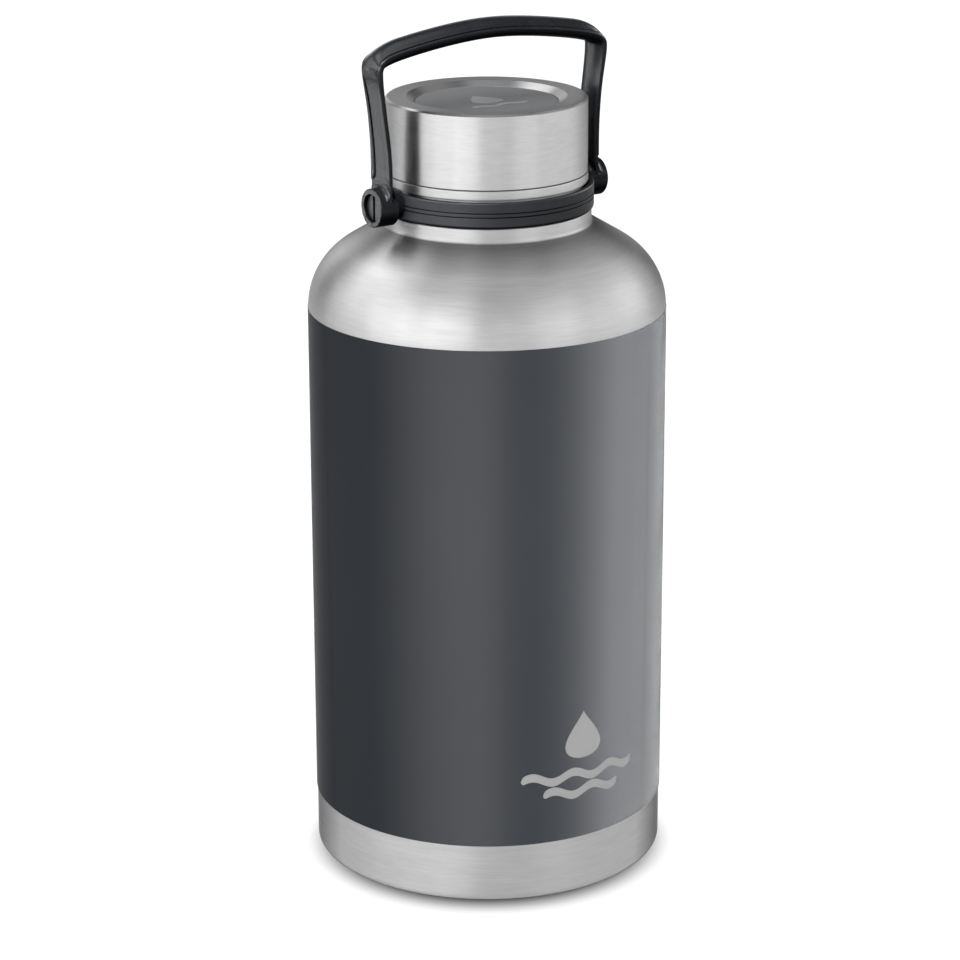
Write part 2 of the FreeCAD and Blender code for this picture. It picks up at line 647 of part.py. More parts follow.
def strip_wire(origin, normal, position, width):
    """Section of the soft strip: flat floor and crowned top."""
    half, left, right = strip_floor(origin, normal, position, width, 0.0)
    crown = blend(position, CROWN)
    lip = STRIP_LIP + crown * STRIP_LIP_RISE if crown > 0 else crown
    curve = []
    for k in range(CROWN_STEPS + 1):
        across = 1 - 2 * k / float(CROWN_STEPS)
        rise = lip + (crown - lip) * (1 - across * across)
        curve.append(place(origin, normal, half * across, rise))
    return Part.Wire([Part.makeLine(left, right), Part.makeLine(right, curve[0]),
                      smooth_edge(curve), Part.makeLine(curve[-1], left)])


def channel_wire(origin, normal, position, width):
    """Section of the cutter for the strip's channel, open to the outside."""
    half, left, right = strip_floor(origin, normal, position, width, CHANNEL_SLACK)
    top = max(blend(position, CROWN), 0.0) + CHANNEL_OVERSHOOT
    return Part.makePolygon([left, right, place(origin, normal, half, top),
                             place(origin, normal, -half, top), left])


def loft(section, stations):
    return Part.makeLoft([section(*station) for station in stations], True, False)


def pivot_cylinder(side, radius, length, start):
    """Cylinder on the pivot axis, running outwards from a distance off centre."""
    return Part.makeCylinder(radius, length, FreeCAD.Vector(side * start, 0, size("PivotZ")),
                             FreeCAD.Vector(side, 0, 0))


def build_frame(frame, channel):
    """Cut the channel into the lofted frame and add the pivot eyes."""
    frame = frame.cut(channel)
    # The lips stop just above the eyes; below, the outer face is flush with the strip.
    face = LEG_X - size("LipHeight")
    for side in (-1, 1):
        corner = FreeCAD.Vector(face if side > 0 else -face - STEP_BOX[0],
                                -STEP_BOX[1] / 2, size("LipEndZ") - STEP_BOX[2])
        frame = frame.cut(Part.makeBox(*STEP_BOX, corner))
    for side in (-1, 1):
        frame = frame.fuse(pivot_cylinder(side, size("EyeRadius"),
                                          size("EyeOuterFace - EyeInnerFace"),
                                          size("EyeInnerFace")))
    for side in (-1, 1):
        bore = pivot_cylinder(side, size("ShoulderPinRadius + RunClear"),
                              BORE_LENGTH, BORE_START)
        sink = pivot_cylinder(side, size("EyeSinkRadius"), SINK_LENGTH,
                              size("EyeOuterFace - EyeSinkDepth"))
        inboard = pivot_cylinder(side, INBOARD_RADIUS, INBOARD_DEPTH,
                                 size("EyeInnerFace") - INBOARD_DEPTH)
        frame = frame.cut(bore).cut(sink).cut(inboard)
    frame = frame.removeSplitter()
    if len(frame.Solids) != 1:
        raise RuntimeError("handle frame is in %d pieces" % len(frame.Solids))
    return frame.Solids[0]


stations = bail_stations()
strip_stations = [station for station in stations if station[2] < STRIP_END]
keep("Part::Feature", "handle_frame").Shape = build_frame(
    loft(frame_wire, stations), loft(channel_wire, strip_stations))
keep("Part::Feature", "handle_grip").Shape = loft(strip_wire, strip_stations)

# ---------------------------------------------------------------- lid
# Steel cap with a chamfered rim and a dished recess for the badge disc.
turned_body("lid_shell", "cap_turn", [
    ("LidRadius", "LidLowZ"),
    ("LidRadius", "LidTopZ - LidChamfer"),
    ("LidRadius - LidChamfer", "LidTopZ"),
    ("LidRecessOuter", "LidTopZ"),
    ("LidRecessInner", "LidRecessZ + DiscThick + RecessWallRise"),
    ("LidRecessInner", "LidRecessZ"),
    ("0", "LidRecessZ"),
    ("0", "LidRecessZ - LidWall"),
    ("LidRecessInner + LidWall", "LidRecessZ - LidWall"),
    ("LidRecessInner + LidWall", "LidRecessZ + RecessInnerRise"),
    ("LidRecessOuter + RecessOuterShift", "LidTopZ - LidWall"),
    ("LidRadius - LidChamfer - LidInnerInset", "LidTopZ - LidWall"),
    ("LidRadius - LidWall", "LidTopZ - LidWall - LidInnerDrop"),
    ("LidRadius - LidWall", "LidLowZ"),
])

# Badge disc in the recess.
turned_body("lid_disc", "disc_turn", [
    ("0", "LidRecessZ + DiscGap"),
    ("DiscRadius", "LidRecessZ + DiscGap"),
    ("DiscRadius", "LidRecessZ + DiscThick"),
    ("0", "LidRecessZ + DiscThick"),
], [
    ("disc_round", "DiscRound", ("DiscRadius", "LidRecessZ + DiscThick")),
])

# Stopper: hollow, with the screw thread below and a skirt that fills the cap.
flange_low = "GasketLowZ + GasketThick + GasketGap"
flange_top = "GasketLowZ + GasketThick + PlugWall"
plug = turned_body("lid_plug", "plug_turn", [
    ("0", "PlugLowZ"),
    ("PlugRadius", "PlugLowZ"),
    ("PlugRadius", flange_low),
    ("PlugSkirtRadius", flange_low),
    ("PlugSkirtRadius", "PlugSkirtTopZ"),
    ("PlugSkirtRadius - PlugWall", "PlugSkirtTopZ"),
    ("PlugSkirtRadius - PlugWall", flange_top),
    ("PlugRadius - PlugWall", flange_top),
    ("PlugRadius - PlugWall", "PlugLowZ + PlugWall"),
    ("0", "PlugLowZ + PlugWall"),
], [
    ("plug_nose", "PlugNose", ("PlugRadius", "PlugLowZ")),
])
add_thread(plug, "plug_thread", low="PlugThreadZ", length="PlugThreadLength",
           root="PlugRadius - ThreadRoot", crest="PlugRadius + ThreadHeight")

# Foam that fills the stopper.
turned_body("lid_insulation", "foam_turn", [
    ("0", "PlugLowZ + PlugWall + FoamGap"),
    ("PlugRadius - PlugWall - FoamGap", "PlugLowZ + PlugWall + FoamGap"),
    ("PlugRadius - PlugWall - FoamGap", flange_top + " + FoamGap"),
    ("PlugSkirtRadius - PlugWall - FoamGap", flange_top + " + FoamGap"),
    ("PlugSkirtRadius - PlugWall - FoamGap", "CoverSeatZ - FoamGap"),
    ("0", "CoverSeatZ - FoamGap"),
])

# Cover over the foam, with a raised boss under the cap's recess.
turned_body("lid_core_cover", "core_cover_turn", [
    ("0", "CoverSeatZ"),
    ("PlugSkirtRadius - PlugWall - CoverGap", "CoverSeatZ"),
    ("PlugSkirtRadius - PlugWall - CoverGap", "PlugSkirtTopZ"),
    ("CoverBossRadius", "PlugSkirtTopZ"),
    ("CoverBossRadius", "LidRecessZ - LidWall - CoverGap"),
    ("0", "LidRecessZ - LidWall - CoverGap"),
])

# Gasket between the rim and the stopper's flange.
turned_body("lid_gasket", "gasket_turn", [
    ("GasketInner", "GasketLowZ"),
    ("GasketOuter", "GasketLowZ"),
    ("GasketOuter", "GasketLowZ + GasketThick"),
    ("GasketInner", "GasketLowZ + GasketThick"),
], [
    ("gasket_round", "GasketRound", ("GasketInner", "GasketLowZ"),
     ("GasketOuter", "GasketLowZ")),
])

# ---------------------------------------------------------------- checks and export
doc.recompute()
for item in doc.Objects:
    bad = [word for word in item.State if word in ("Invalid", "Error")]
    if bad:
        raise RuntimeError("%s is %s" % (item.Name, bad))
if len({item.Label for item in subparts}) != len(subparts):
    raise RuntimeError("two sub-parts share a label")
for item in subparts:
    shape = item.Shape
    if shape.isNull() or not shape.isValid() or shape.Volume <= 0:
        raise RuntimeError("%s has no valid shape" % item.Label)
    if len(shape.Solids) != 1:
        raise RuntimeError("%s has %d solids" % (item.Label, len(shape.Solids)))

os.makedirs("parts", exist_ok=True)
for item in subparts:
    item.Shape.exportStep("parts/%s.step" % item.Label)
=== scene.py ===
# An insulated steel bottle with a powder-coated sleeve, a collar, a bail handle and a lid.
# It stands on z = 0 with its axis on +Z. The handle's pivots lie on the X axis' two sides,
# its arch spans from -X to +X, and the print on the coat faces -Y. The camera looks from
# the -X, -Y quarter. Shape sizes are in millimetres, lights and camera in metres.
import bpy, bmesh, json, math
from collections import namedtuple
import numpy as np
from mathutils import Matrix, Vector

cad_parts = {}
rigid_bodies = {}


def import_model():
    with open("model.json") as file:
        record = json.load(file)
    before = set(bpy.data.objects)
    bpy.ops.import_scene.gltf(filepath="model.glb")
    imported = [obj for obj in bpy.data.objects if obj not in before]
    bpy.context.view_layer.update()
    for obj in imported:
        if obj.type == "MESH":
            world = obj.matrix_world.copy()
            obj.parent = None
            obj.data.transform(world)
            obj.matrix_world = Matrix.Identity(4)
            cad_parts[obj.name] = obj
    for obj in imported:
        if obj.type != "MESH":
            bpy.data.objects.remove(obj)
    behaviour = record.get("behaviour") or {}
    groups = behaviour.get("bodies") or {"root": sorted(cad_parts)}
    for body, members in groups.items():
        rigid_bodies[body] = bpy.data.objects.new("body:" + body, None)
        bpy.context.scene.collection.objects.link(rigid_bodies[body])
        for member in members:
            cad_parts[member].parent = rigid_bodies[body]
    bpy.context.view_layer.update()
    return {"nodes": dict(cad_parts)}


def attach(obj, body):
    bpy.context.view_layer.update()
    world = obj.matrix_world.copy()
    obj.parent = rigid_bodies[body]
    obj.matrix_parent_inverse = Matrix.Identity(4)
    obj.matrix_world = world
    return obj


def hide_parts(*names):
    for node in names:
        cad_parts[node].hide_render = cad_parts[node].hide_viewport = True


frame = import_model()
SCENE = bpy.context.scene

MM = 0.001
PIVOT_Z = 239.37           # height of the handle's pivot axis
COAT_RADIUS = 62.5
DISC_TOP = 271.15          # top of the disc in the lid
PRINT_SINK = 0.005         # how far a print's underside lies in its surface
CAMERA_AZIMUTH = -33.085   # degrees about Z from -Y, negative towards -X
WHITE = (1, 1, 1, 1)


# ------------------------------------------------------------------ mesh helpers
SMOOTH_DEG = 32.0          # edges sharper than this stay hard
ARC_STEP_DEG = 7.5         # longest step along a corner's arc
LARGE_RADIUS = 5           # corners rounder than this get at least LARGE_STEPS
LARGE_STEPS = 36
SUPPORT = 0.35             # distance of the holding point beside an arc
SHORT_FLAT = 0.12          # flats up to this length get no holding point
WELD = 0.004               # merging distance after booleans


def finish_mesh(mesh, smooth_deg):
    mesh.polygons.foreach_set("use_smooth", [True] * len(mesh.polygons))
    mesh.set_sharp_from_angle(angle=math.radians(smooth_deg))
    mesh.update()


def mesh_object(name, verts, faces, smooth_deg=SMOOTH_DEG):
    """Object from millimetre input, stored in metres, smooth except at real edges."""
    mesh = bpy.data.meshes.new(name)
    mesh.from_pydata([tuple(float(c) * MM for c in v) for v in verts], [], faces)
    mesh.validate()
    bm = bmesh.new()
    bm.from_mesh(mesh)
    bmesh.ops.recalc_face_normals(bm, faces=bm.faces)
    bm.to_mesh(mesh)
    bm.free()
    finish_mesh(mesh, smooth_deg)
    ob = bpy.data.objects.new(name, mesh)
    SCENE.collection.objects.link(ob)
    return ob


def rounded(corners):
    """Closed outline of (a, b[, radius]) corners as plain points, with arcs at the
    corners and a holding point beside every arc so that flats shade flat."""
    points = []
    for i, (a, b, *rest) in enumerate(corners):
        if not rest:
            points.append((a, b))
            continue
        radius = rest[0]
        corner = np.array([a, b], float)
        back = np.array(corners[i - 1][:2], float) - corner
        ahead = np.array(corners[(i + 1) % len(corners)][:2], float) - corner
        back_length, ahead_length = np.linalg.norm(back), np.linalg.norm(ahead)
        back, ahead = back / back_length, ahead / ahead_length
        half = math.acos(max(-1.0, min(1.0, float(back @ ahead)))) / 2
        trim = radius / math.tan(half)
        inward = (back + ahead) / np.linalg.norm(back + ahead)
        centre = corner + inward * (radius / math.sin(half))
        start, end = corner + back * trim, corner + ahead * trim
        angle = math.pi - 2 * half
        steps = max(2, int(math.ceil(math.degrees(angle) / ARC_STEP_DEG)))
        if radius > LARGE_RADIUS:
            steps = max(steps, LARGE_STEPS)
        if back_length - trim > SHORT_FLAT:
            points.append(tuple(start + back * min(SUPPORT, (back_length - trim) * 0.4)))
        for j in range(steps + 1):
            f = j / steps
            start_share = math.sin((1 - f) * angle) / math.sin(angle)
            end_share = math.sin(f * angle) / math.sin(angle)
            points.append(tuple(centre + (start - centre) * start_share
                                + (end - centre) * end_share))
        if ahead_length - trim > SHORT_FLAT:
            points.append(tuple(end + ahead * min(SUPPORT, (ahead_length - trim) * 0.4)))
    return points


def turned_data(profile, segs):
    """Verts and faces of a closed outline of (radius, height) turned about Z."""
    verts, rings = [], []
    for r, h in profile:
        if abs(r) < 1e-7:
            rings.append([len(verts)])
            verts.append((0.0, 0.0, h))
        else:
            rings.append(list(range(len(verts), len(verts) + segs)))
            for i in range(segs):
                angle = 2 * math.pi * i / segs
                verts.append((r * math.cos(angle), r * math.sin(angle), h))
    faces = []
    for p, q in zip(rings, rings[1:] + rings[:1]):
        if len(p) == 1 and len(q) == 1:
            continue
        for j in range(segs):
            k = (j + 1) % segs
            if len(p) == 1:
                faces.append((p[0], q[k], q[j]))
            elif len(q) == 1:
                faces.append((p[j], p[k], q[0]))
            else:
                faces.append((p[j], p[k], q[k], q[j]))
    return verts, faces


def lathe(name, corners, segs):
    return mesh_object(name, *turned_data(rounded(corners), segs))


def pivot_lathe(name, profile, segs, side):
    """Outline of (radius, distance from the bottle's axis) turned about the pivot axis."""
    verts, faces = turned_data(profile, segs)
    verts = [(side * h, side * x, y + PIVOT_Z) for x, y, h in verts]
    return mesh_object(name, verts, faces)


def boolean(target, cutter, operation):
    """Apply a boolean at once and remove the cutter."""
    mod = target.modifiers.new("boolean", "BOOLEAN")
    mod.operation, mod.object, mod.solver = operation, cutter, "EXACT"
    bpy.context.view_layer.update()
    depsgraph = bpy.context.evaluated_depsgraph_get()
    mesh = bpy.data.meshes.new_from_object(target.evaluated_get(depsgraph), depsgraph=depsgraph)
    target.modifiers.clear()
    old = target.data
    target.data = mesh
    bpy.data.meshes.remove(old)
    bpy.data.objects.remove(cutter)


def tidy(ob, smooth_deg):
    """Weld the slivers that booleans leave."""
    bm = bmesh.new()
    bm.from_mesh(ob.data)
    bmesh.ops.remove_doubles(bm, verts=bm.verts, dist=WELD * MM)
    bmesh.ops.dissolve_degenerate(bm, edges=bm.edges, dist=WELD * MM)
    bmesh.ops.recalc_face_normals(bm, faces=bm.faces)
    bm.to_mesh(ob.data)
    bm.free()
    finish_mesh(ob.data, smooth_deg)


# ------------------------------------------------------------------ node helpers
NOISE_RANGE = (0.3, 0.7)   # where most of a noise's values lie


class Graph:
    """Small wrapper that builds the node tree of a material or the world."""

    def __init__(self, owner, output="ShaderNodeOutputMaterial"):
        owner.use_nodes = True
        self.owner = owner
        self.tree = owner.node_tree
        self.tree.nodes.clear()
        self.out = self.tree.nodes.new(output)

    def node(self, kind, **props):
        node = self.tree.nodes.new(kind)
        for key, value in props.items():
            setattr(node, key, value)
        return node

    def link(self, source, target):
        self.tree.links.new(source, target)

    def put(self, socket, value):
        if isinstance(value, bpy.types.NodeSocket):
            self.link(value, socket)
        else:
            socket.default_value = value

    def shader(self, kind, *values):
        """Shader node with its first inputs filled in order."""
        node = self.node(kind)
        for socket, value in zip(node.inputs, values):
            self.put(socket, value)
        return node.outputs[0]

    def finish(self, shader):
        self.link(shader, self.out.inputs[0])

    def math(self, operation, a, b=None):
        node = self.node("ShaderNodeMath", operation=operation)
        self.put(node.inputs[0], a)
        if b is not None:
            self.put(node.inputs[1], b)
        return node.outputs[0]

    def length(self, x, y):
        squares = self.math("ADD", self.math("MULTIPLY", x, x), self.math("MULTIPLY", y, y))
        return self.math("SQRT", squares)

    def coordinates(self, kind="Object"):
        return self.node("ShaderNodeTexCoord").outputs[kind]

    def separate(self, vector):
        node = self.node("ShaderNodeSeparateXYZ")
        self.link(vector, node.inputs[0])
        return node.outputs

    def scaled(self, vector, factor):
        node = self.node("ShaderNodeVectorMath", operation="SCALE")
        self.link(vector, node.inputs[0])
        self.link(factor, node.inputs["Scale"])
        return node.outputs[0]

    def facing(self):
        """0 where a surface faces the viewer, 1 at a flat angle."""
        node = self.node("ShaderNodeLayerWeight")
        node.inputs["Blend"].default_value = 0.5
        return node.outputs["Facing"]

    def noise(self, scale, detail, rough):
        node = self.node("ShaderNodeTexNoise")
        self.link(self.coordinates(), node.inputs["Vector"])
        node.inputs["Scale"].default_value = scale
        node.inputs["Detail"].default_value = detail
        node.inputs["Roughness"].default_value = rough
        return node.outputs["Fac"]

    def ring_noise(self, around, across, detail):
        """Noise that runs long round the Z axis and fine across it, and the radius."""
        x, y, z = self.separate(self.coordinates())
        radius = self.length(x, y)
        safe = self.math("MAXIMUM", radius, 1e-5)
        combine = self.node("ShaderNodeCombineXYZ")
        for socket, value in zip(combine.inputs, (x, y)):
            self.link(self.math("MULTIPLY", self.math("DIVIDE", value, safe), around), socket)
        self.link(self.math("MULTIPLY", z, across), combine.inputs[2])
        fourth = self.math("MULTIPLY", radius, across)
        node = self.node("ShaderNodeTexNoise", noise_dimensions="4D")
        self.link(combine.outputs[0], node.inputs["Vector"])
        self.link(fourth, node.inputs["W"])
        node.inputs["Scale"].default_value = 1.0
        node.inputs["Detail"].default_value = detail
        node.inputs["Roughness"].default_value = 0.6
        return node.outputs["Fac"], radius

    def remap(self, value, source=(0.0, 1.0), target=(0.0, 1.0), **props):
        node = self.node("ShaderNodeMapRange", clamp=True, **props)
        self.put(node.inputs[0], value)
        for socket, limit in zip(list(node.inputs)[1:5], (*source, *target)):
            socket.default_value = limit
        return node.outputs[0]

    def vary(self, noise, centre, reach):
        """A noise as a value that strays from its centre by the reach."""
        return self.remap(noise, NOISE_RANGE, (centre - reach, centre + reach))

    def blend(self, factor, dark, light):
        node = self.node("ShaderNodeMix", data_type="RGBA")
        self.put(node.inputs[0], factor)
        node.inputs[6].default_value = tuple(dark) + (1,)
        node.inputs[7].default_value = tuple(light) + (1,)
        return node.outputs[2]

    def bump(self, height, strength, distance_mm, normal=None):
        node = self.node("ShaderNodeBump")
        node.inputs["Strength"].default_value = strength
        node.inputs["Distance"].default_value = distance_mm * MM
        self.put(node.inputs["Height"], height)
        if normal is not None:
            self.link(normal, node.inputs["Normal"])
        return node.outputs[0]

    def surface(self, **inputs):
        """Finish with a Principled shader and return the material."""
        node = self.node("ShaderNodeBsdfPrincipled")
        for key, value in inputs.items():
            self.put(node.inputs[key.replace("_", " ")], value)
        self.finish(node.outputs[0])
        return self.owner


def material_graph(name):
    return Graph(bpy.data.materials.new(name))


# ------------------------------------------------------------------ material kinds
def brushed(name, base, rough, aniso=0.90, grain=1.0, neck_shade=None, edge=None):
    """Steel brushed round the axis: rings of grain, sharper round than across. Painted shade
    darkens the colour beside the neck by the neck factor, and towards the silhouettes by edge."""
    g = material_graph(name)
    fine, radius = g.ring_noise(around=6.0, across=1500.0, detail=2.0)
    middle, _ = g.ring_noise(around=2.5, across=520.0, detail=3.0)
    cloud = g.noise(scale=24.0, detail=3.0, rough=0.55)
    streak = g.math("ADD", g.math("MULTIPLY", fine, 0.6), g.math("MULTIPLY", middle, 0.4))
    contrast = 0.10 * grain
    color = g.blend(g.remap(streak, source=(0.25, 0.75)),
                    dark=[c * (1 - contrast) for c in base],
                    light=[c * (1 + contrast) for c in base])
    # painted shade: the colour of the upward-facing cone near the neck is darkened
    if neck_shade is not None:
        normal_z = g.separate(g.node("ShaderNodeNewGeometry").outputs["Normal"])[2]
        upward = g.remap(normal_z, source=(0.55, 0.84))
        near_neck = g.remap(radius, source=(0.0385, 0.051), target=(1.0, 0.0))
        share = g.math("MULTIPLY", upward, near_neck)
        painted_neck_shade = g.math("SUBTRACT", 1.0, g.math("MULTIPLY", share, 1.0 - neck_shade))
        color = g.scaled(color, painted_neck_shade)
    if edge is not None:                         # painted shade: the colour darkens towards the silhouettes
        color = g.scaled(color, g.remap(g.facing(), source=(0.55, 0.83), target=(1.0, edge)))
    roughness = g.math("ADD", g.vary(middle, rough, 0.04), g.vary(cloud, 0.0, 0.02))
    normal = g.bump(streak, strength=0.05 * grain, distance_mm=0.012)
    tangent = g.node("ShaderNodeTangent", direction_type="RADIAL", axis="Z")
    return g.surface(Base_Color=color, Metallic=1.0, Roughness=roughness, Anisotropic=aniso,
                     Anisotropic_Rotation=0.25, Normal=normal, Tangent=tangent.outputs[0])


def shaded_moulding(g, color, spec, edge_spec):
    """Gloss of a moulding that fades at flat angles, underneath and in gaps; painted shade darkens
    its colour underneath, under the arch and in gaps.
    """
    spec = g.remap(g.facing(), source=(0.10, 0.80), target=(spec, edge_spec))
    normal_z = g.separate(g.coordinates("Normal"))[2]
    height = g.separate(g.coordinates())[2]
    arch = g.remap(height, source=(286 * MM, 292 * MM))     # 1 in the handle's arch
    not_under = g.remap(normal_z, source=(-0.45, 0.0))      # 0 on the underside
    arch_under = g.remap(normal_z, source=(-0.10, 0.55), target=(0.85, 0.0))
    lit = g.math("MULTIPLY", not_under,
                 g.math("SUBTRACT", 1.0, g.math("MULTIPLY", arch, arch_under)))
    crevice = g.node("ShaderNodeAmbientOcclusion", samples=6)
    crevice.inputs["Distance"].default_value = 2.5 * MM
    openness = g.math("POWER", crevice.outputs["AO"], 1.8)
    spec = g.math("MULTIPLY", spec, g.remap(lit, target=(0.06, 1.0)))
    spec = g.math("MULTIPLY", spec, openness)
    # painted shade: the colour darkens in gaps, on the underside and under the arch
    painted_shade = g.math("MULTIPLY", openness, g.remap(lit, target=(0.35, 1.0)))
    return g.scaled(color, painted_shade), spec


def plastic(name, dark, light, rough=0.42, texture=0.35, cell=2600.0, spec=0.5, edge_spec=None):
    """Moulding with a fine pitted texture, faint cloudiness and soft edges; with edge_spec its
    colour also gets painted shade underneath and in gaps.
    """
    g = material_graph(name)
    pits = g.noise(scale=cell, detail=2.0, rough=0.6)
    cloud = g.noise(scale=60.0, detail=4.0, rough=0.6)
    color = g.blend(g.remap(cloud, NOISE_RANGE), dark, light)
    bevel = g.node("ShaderNodeBevel", samples=4)
    bevel.inputs["Radius"].default_value = 0.12 * MM
    normal = g.bump(pits, texture, distance_mm=0.02, normal=bevel.outputs[0])
    roughness = g.math("ADD", g.vary(cloud, rough, 0.04), g.vary(pits, 0.0, 0.03))
    if edge_spec is not None:
        color, spec = shaded_moulding(g, color, spec, edge_spec)
    return g.surface(Base_Color=color, Roughness=roughness, Normal=normal,
                     Specular_IOR_Level=spec)


def metal(name, dark, light, rough=0.3, cell=900.0, texture=0.2):
    g = material_graph(name)
    grain = g.noise(scale=cell, detail=3.0, rough=0.6)
    cloud = g.noise(scale=90.0, detail=3.0, rough=0.5)
    color = g.blend(g.remap(cloud, NOISE_RANGE), dark, light)
    normal = g.bump(grain, texture, distance_mm=0.02)
    return g.surface(Base_Color=color, Metallic=1.0, Roughness=g.vary(grain, rough, 0.06),
                     Normal=normal)


def coated(name, dark, light, rough=0.42, spec=0.5, texture=0.05, edge_spec=None):
    """Powder coat: satin, with a very fine orange peel and specks. The pores shade
    each other at a flat angle, so the gloss fades there to edge_spec."""
    g = material_graph(name)
    peel = g.noise(scale=1500.0, detail=2.0, rough=0.5)
    speck = g.noise(scale=5200.0, detail=1.0, rough=0.5)
    cloud = g.noise(scale=14.0, detail=3.0, rough=0.5)
    mix = g.math("ADD", g.math("MULTIPLY", cloud, 0.6), g.math("MULTIPLY", speck, 0.4))
    color = g.blend(g.remap(mix, source=(0.35, 0.65)), dark, light)
    height = g.math("ADD", peel, g.math("MULTIPLY", speck, 0.4))
    normal = g.bump(height, texture, distance_mm=0.01)
    if edge_spec is not None:
        spec = g.remap(g.facing(), source=(0.08, 0.60), target=(spec, edge_spec))
    return g.surface(Base_Color=color, Roughness=g.vary(peel, rough, 0.03), Normal=normal,
                     Specular_IOR_Level=spec)


BLACK = dict(dark=(0.0036, 0.0041, 0.0049), light=(0.0054, 0.0060, 0.0069))
MATERIALS = {
    # steel_body: painted shade darkens the cone beside the neck
    "steel_body": brushed("brushed_steel_body", base=(0.67, 0.67, 0.673), rough=0.45, neck_shade=0.36),
    # steel_band: painted shade darkens it towards its silhouettes
    "steel_band": brushed("brushed_steel_band", base=(0.62, 0.62, 0.623), rough=0.42, edge=0.34),
    "steel_lid": brushed("brushed_steel_lid", base=(0.64, 0.64, 0.643), rough=0.40, aniso=0.88),
    # the lid's top: a turned finish with less grain, and a darker colour that is painted shade
    "steel_top_painted_shade": brushed("brushed_steel_top", base=(0.42, 0.42, 0.423), rough=0.32, aniso=0.45,
                         grain=0.35),
    "steel_inner": metal("polished_steel_inner", dark=(0.50, 0.50, 0.51),
                         light=(0.58, 0.58, 0.59), rough=0.2, cell=500.0, texture=0.08),
    "coat": coated("powder_coat_slate", dark=(0.0120, 0.0140, 0.0175),
                   light=(0.0145, 0.0168, 0.0205), rough=0.36, spec=0.18, texture=0.10,
                   edge_spec=0.02),
    "print": coated("pad_print_grey", dark=(0.37, 0.375, 0.37), light=(0.42, 0.425, 0.42),
                    rough=0.5, spec=0.3),
    "black_plastic": plastic("moulded_black", **BLACK, rough=0.26, texture=0.08, spec=0.15,
                             edge_spec=0.05),
    "collar_plastic": plastic("moulded_collar", dark=(0.0072, 0.0079, 0.0092),
                              light=(0.0102, 0.0111, 0.0126), rough=0.36, texture=0.10,
                              spec=0.16, edge_spec=0.06),
    "grip_plastic": plastic("overmould_black", **BLACK, rough=0.27, texture=0.08, cell=3600.0,
                            spec=0.15, edge_spec=0.05),
    "screw_black": plastic("coated_screw", dark=(0.006, 0.0066, 0.0075),
                           light=(0.009, 0.0098, 0.011), rough=0.32, texture=0.10, cell=1800.0,
                           spec=0.16, edge_spec=0.06),
    "brass": metal("turned_brass", dark=(0.62, 0.42, 0.17), light=(0.74, 0.54, 0.25),
                   rough=0.25),
    "washer_plastic": plastic("acetal_washer", dark=(0.014, 0.014, 0.015),
                              light=(0.02, 0.02, 0.021), rough=0.35),
    "disc_grey": coated("anodised_disc", dark=(0.150, 0.154, 0.160),
                        light=(0.168, 0.172, 0.178), spec=0.4),
    "disc_print": coated("disc_print", dark=(0.27, 0.275, 0.28), light=(0.31, 0.315, 0.32),
                         rough=0.45),
    "plug_plastic": plastic("stopper_plastic", dark=(0.030, 0.031, 0.033),
                            light=(0.045, 0.046, 0.048), rough=0.4),
    "silicone": plastic("silicone_seal", dark=(0.05, 0.05, 0.053), light=(0.075, 0.075, 0.08),
                        rough=0.55, texture=0.12, cell=1400.0, spec=0.4),
    "foam": plastic("foam_fill", dark=(0.72, 0.70, 0.64), light=(0.86, 0.84, 0.80), rough=0.85,
                    texture=0.9, cell=700.0, spec=0.2),
    "copper": metal("copper_foil", dark=(0.66, 0.32, 0.20), light=(0.80, 0.44, 0.30),
                    cell=400.0, texture=0.5),
    "getter": metal("sintered_getter", dark=(0.26, 0.26, 0.27), light=(0.42, 0.42, 0.43),
                    rough=0.6, cell=1500.0, texture=0.8),
    "braze": metal("braze_bead", dark=(0.42, 0.39, 0.34), light=(0.55, 0.51, 0.45), rough=0.35,
                   cell=700.0, texture=0.4),
}


def paint(ob, material):
    ob.data.materials.clear()
    ob.data.materials.append(MATERIALS[material])


def dress(ob, slot, body, replaced=None, material=None):
    """Give a piece its material, picked by slot unless material is given, and its body, and hide
    the node it replaces.
    """
    paint(ob, material or slot)
    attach(ob, body)
    if replaced:
        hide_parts(replaced)


# ------------------------------------------------------------------ vessel
# Outlines list (radius, height[, corner radius]).
shell = lathe("shell", [
    (62.38, 21.0), (62.38, 214.0, 26.0), (36.2, 229.75, 1.6), (36.2, 234.45, 0.5),
    (33.4, 234.45, 0.15), (33.4, 243.5, 0.2), (35.0, 244.1, 0.25), (35.0, 247.2, 0.45),
    (31.4, 247.2, 0.3), (31.4, 246.6), (34.4, 246.6), (34.4, 244.45), (32.8, 243.85),
    (32.8, 233.85), (35.6, 233.85), (35.6, 229.39), (61.78, 213.66, 25.4), (61.78, 21.0)],
    segs=320)
dress(shell, "steel_body", "bottle", "outer_shell")

sleeve = lathe("coat", [
    (62.386, 21.0), (COAT_RADIUS, 21.0, 0.05), (COAT_RADIUS, 199.5, 0.05), (62.386, 199.5)],
    segs=320)
dress(sleeve, "coat", "bottle", "powder_coat")

cup = lathe("base_cup", [
    (61.73, 25.0), (61.73, 20.9), (62.15, 20.9, 0.15), (62.15, 0.0, 2.2), (50.0, 0.0, 1.0),
    (48.0, 3.2, 0.3), (1.5, 3.2), (1.5, 3.8), (48.4, 3.8), (50.45, 0.6, 0.5),
    (61.55, 0.6, 1.6), (61.55, 20.3), (61.13, 20.9), (61.13, 25.0)], segs=320)
dress(cup, "steel_body", "bottle", "outer_base", material="steel_band")

plate = lathe("floor_plate", [
    (0.0, 1.9), (6.5, 1.9, 0.5), (8.1, 3.2, 0.5), (46.5, 3.2), (46.5, 2.7, 0.12),
    (30.6, 2.7, 0.3), (30.0, 2.5, 0.3), (28.4, 2.5, 0.3), (27.8, 2.7, 0.3),
    (8.4, 2.7, 0.5), (6.8, 1.4, 0.5), (0.0, 1.4)], segs=256)
dress(plate, "steel_body", "bottle", "base_plate")

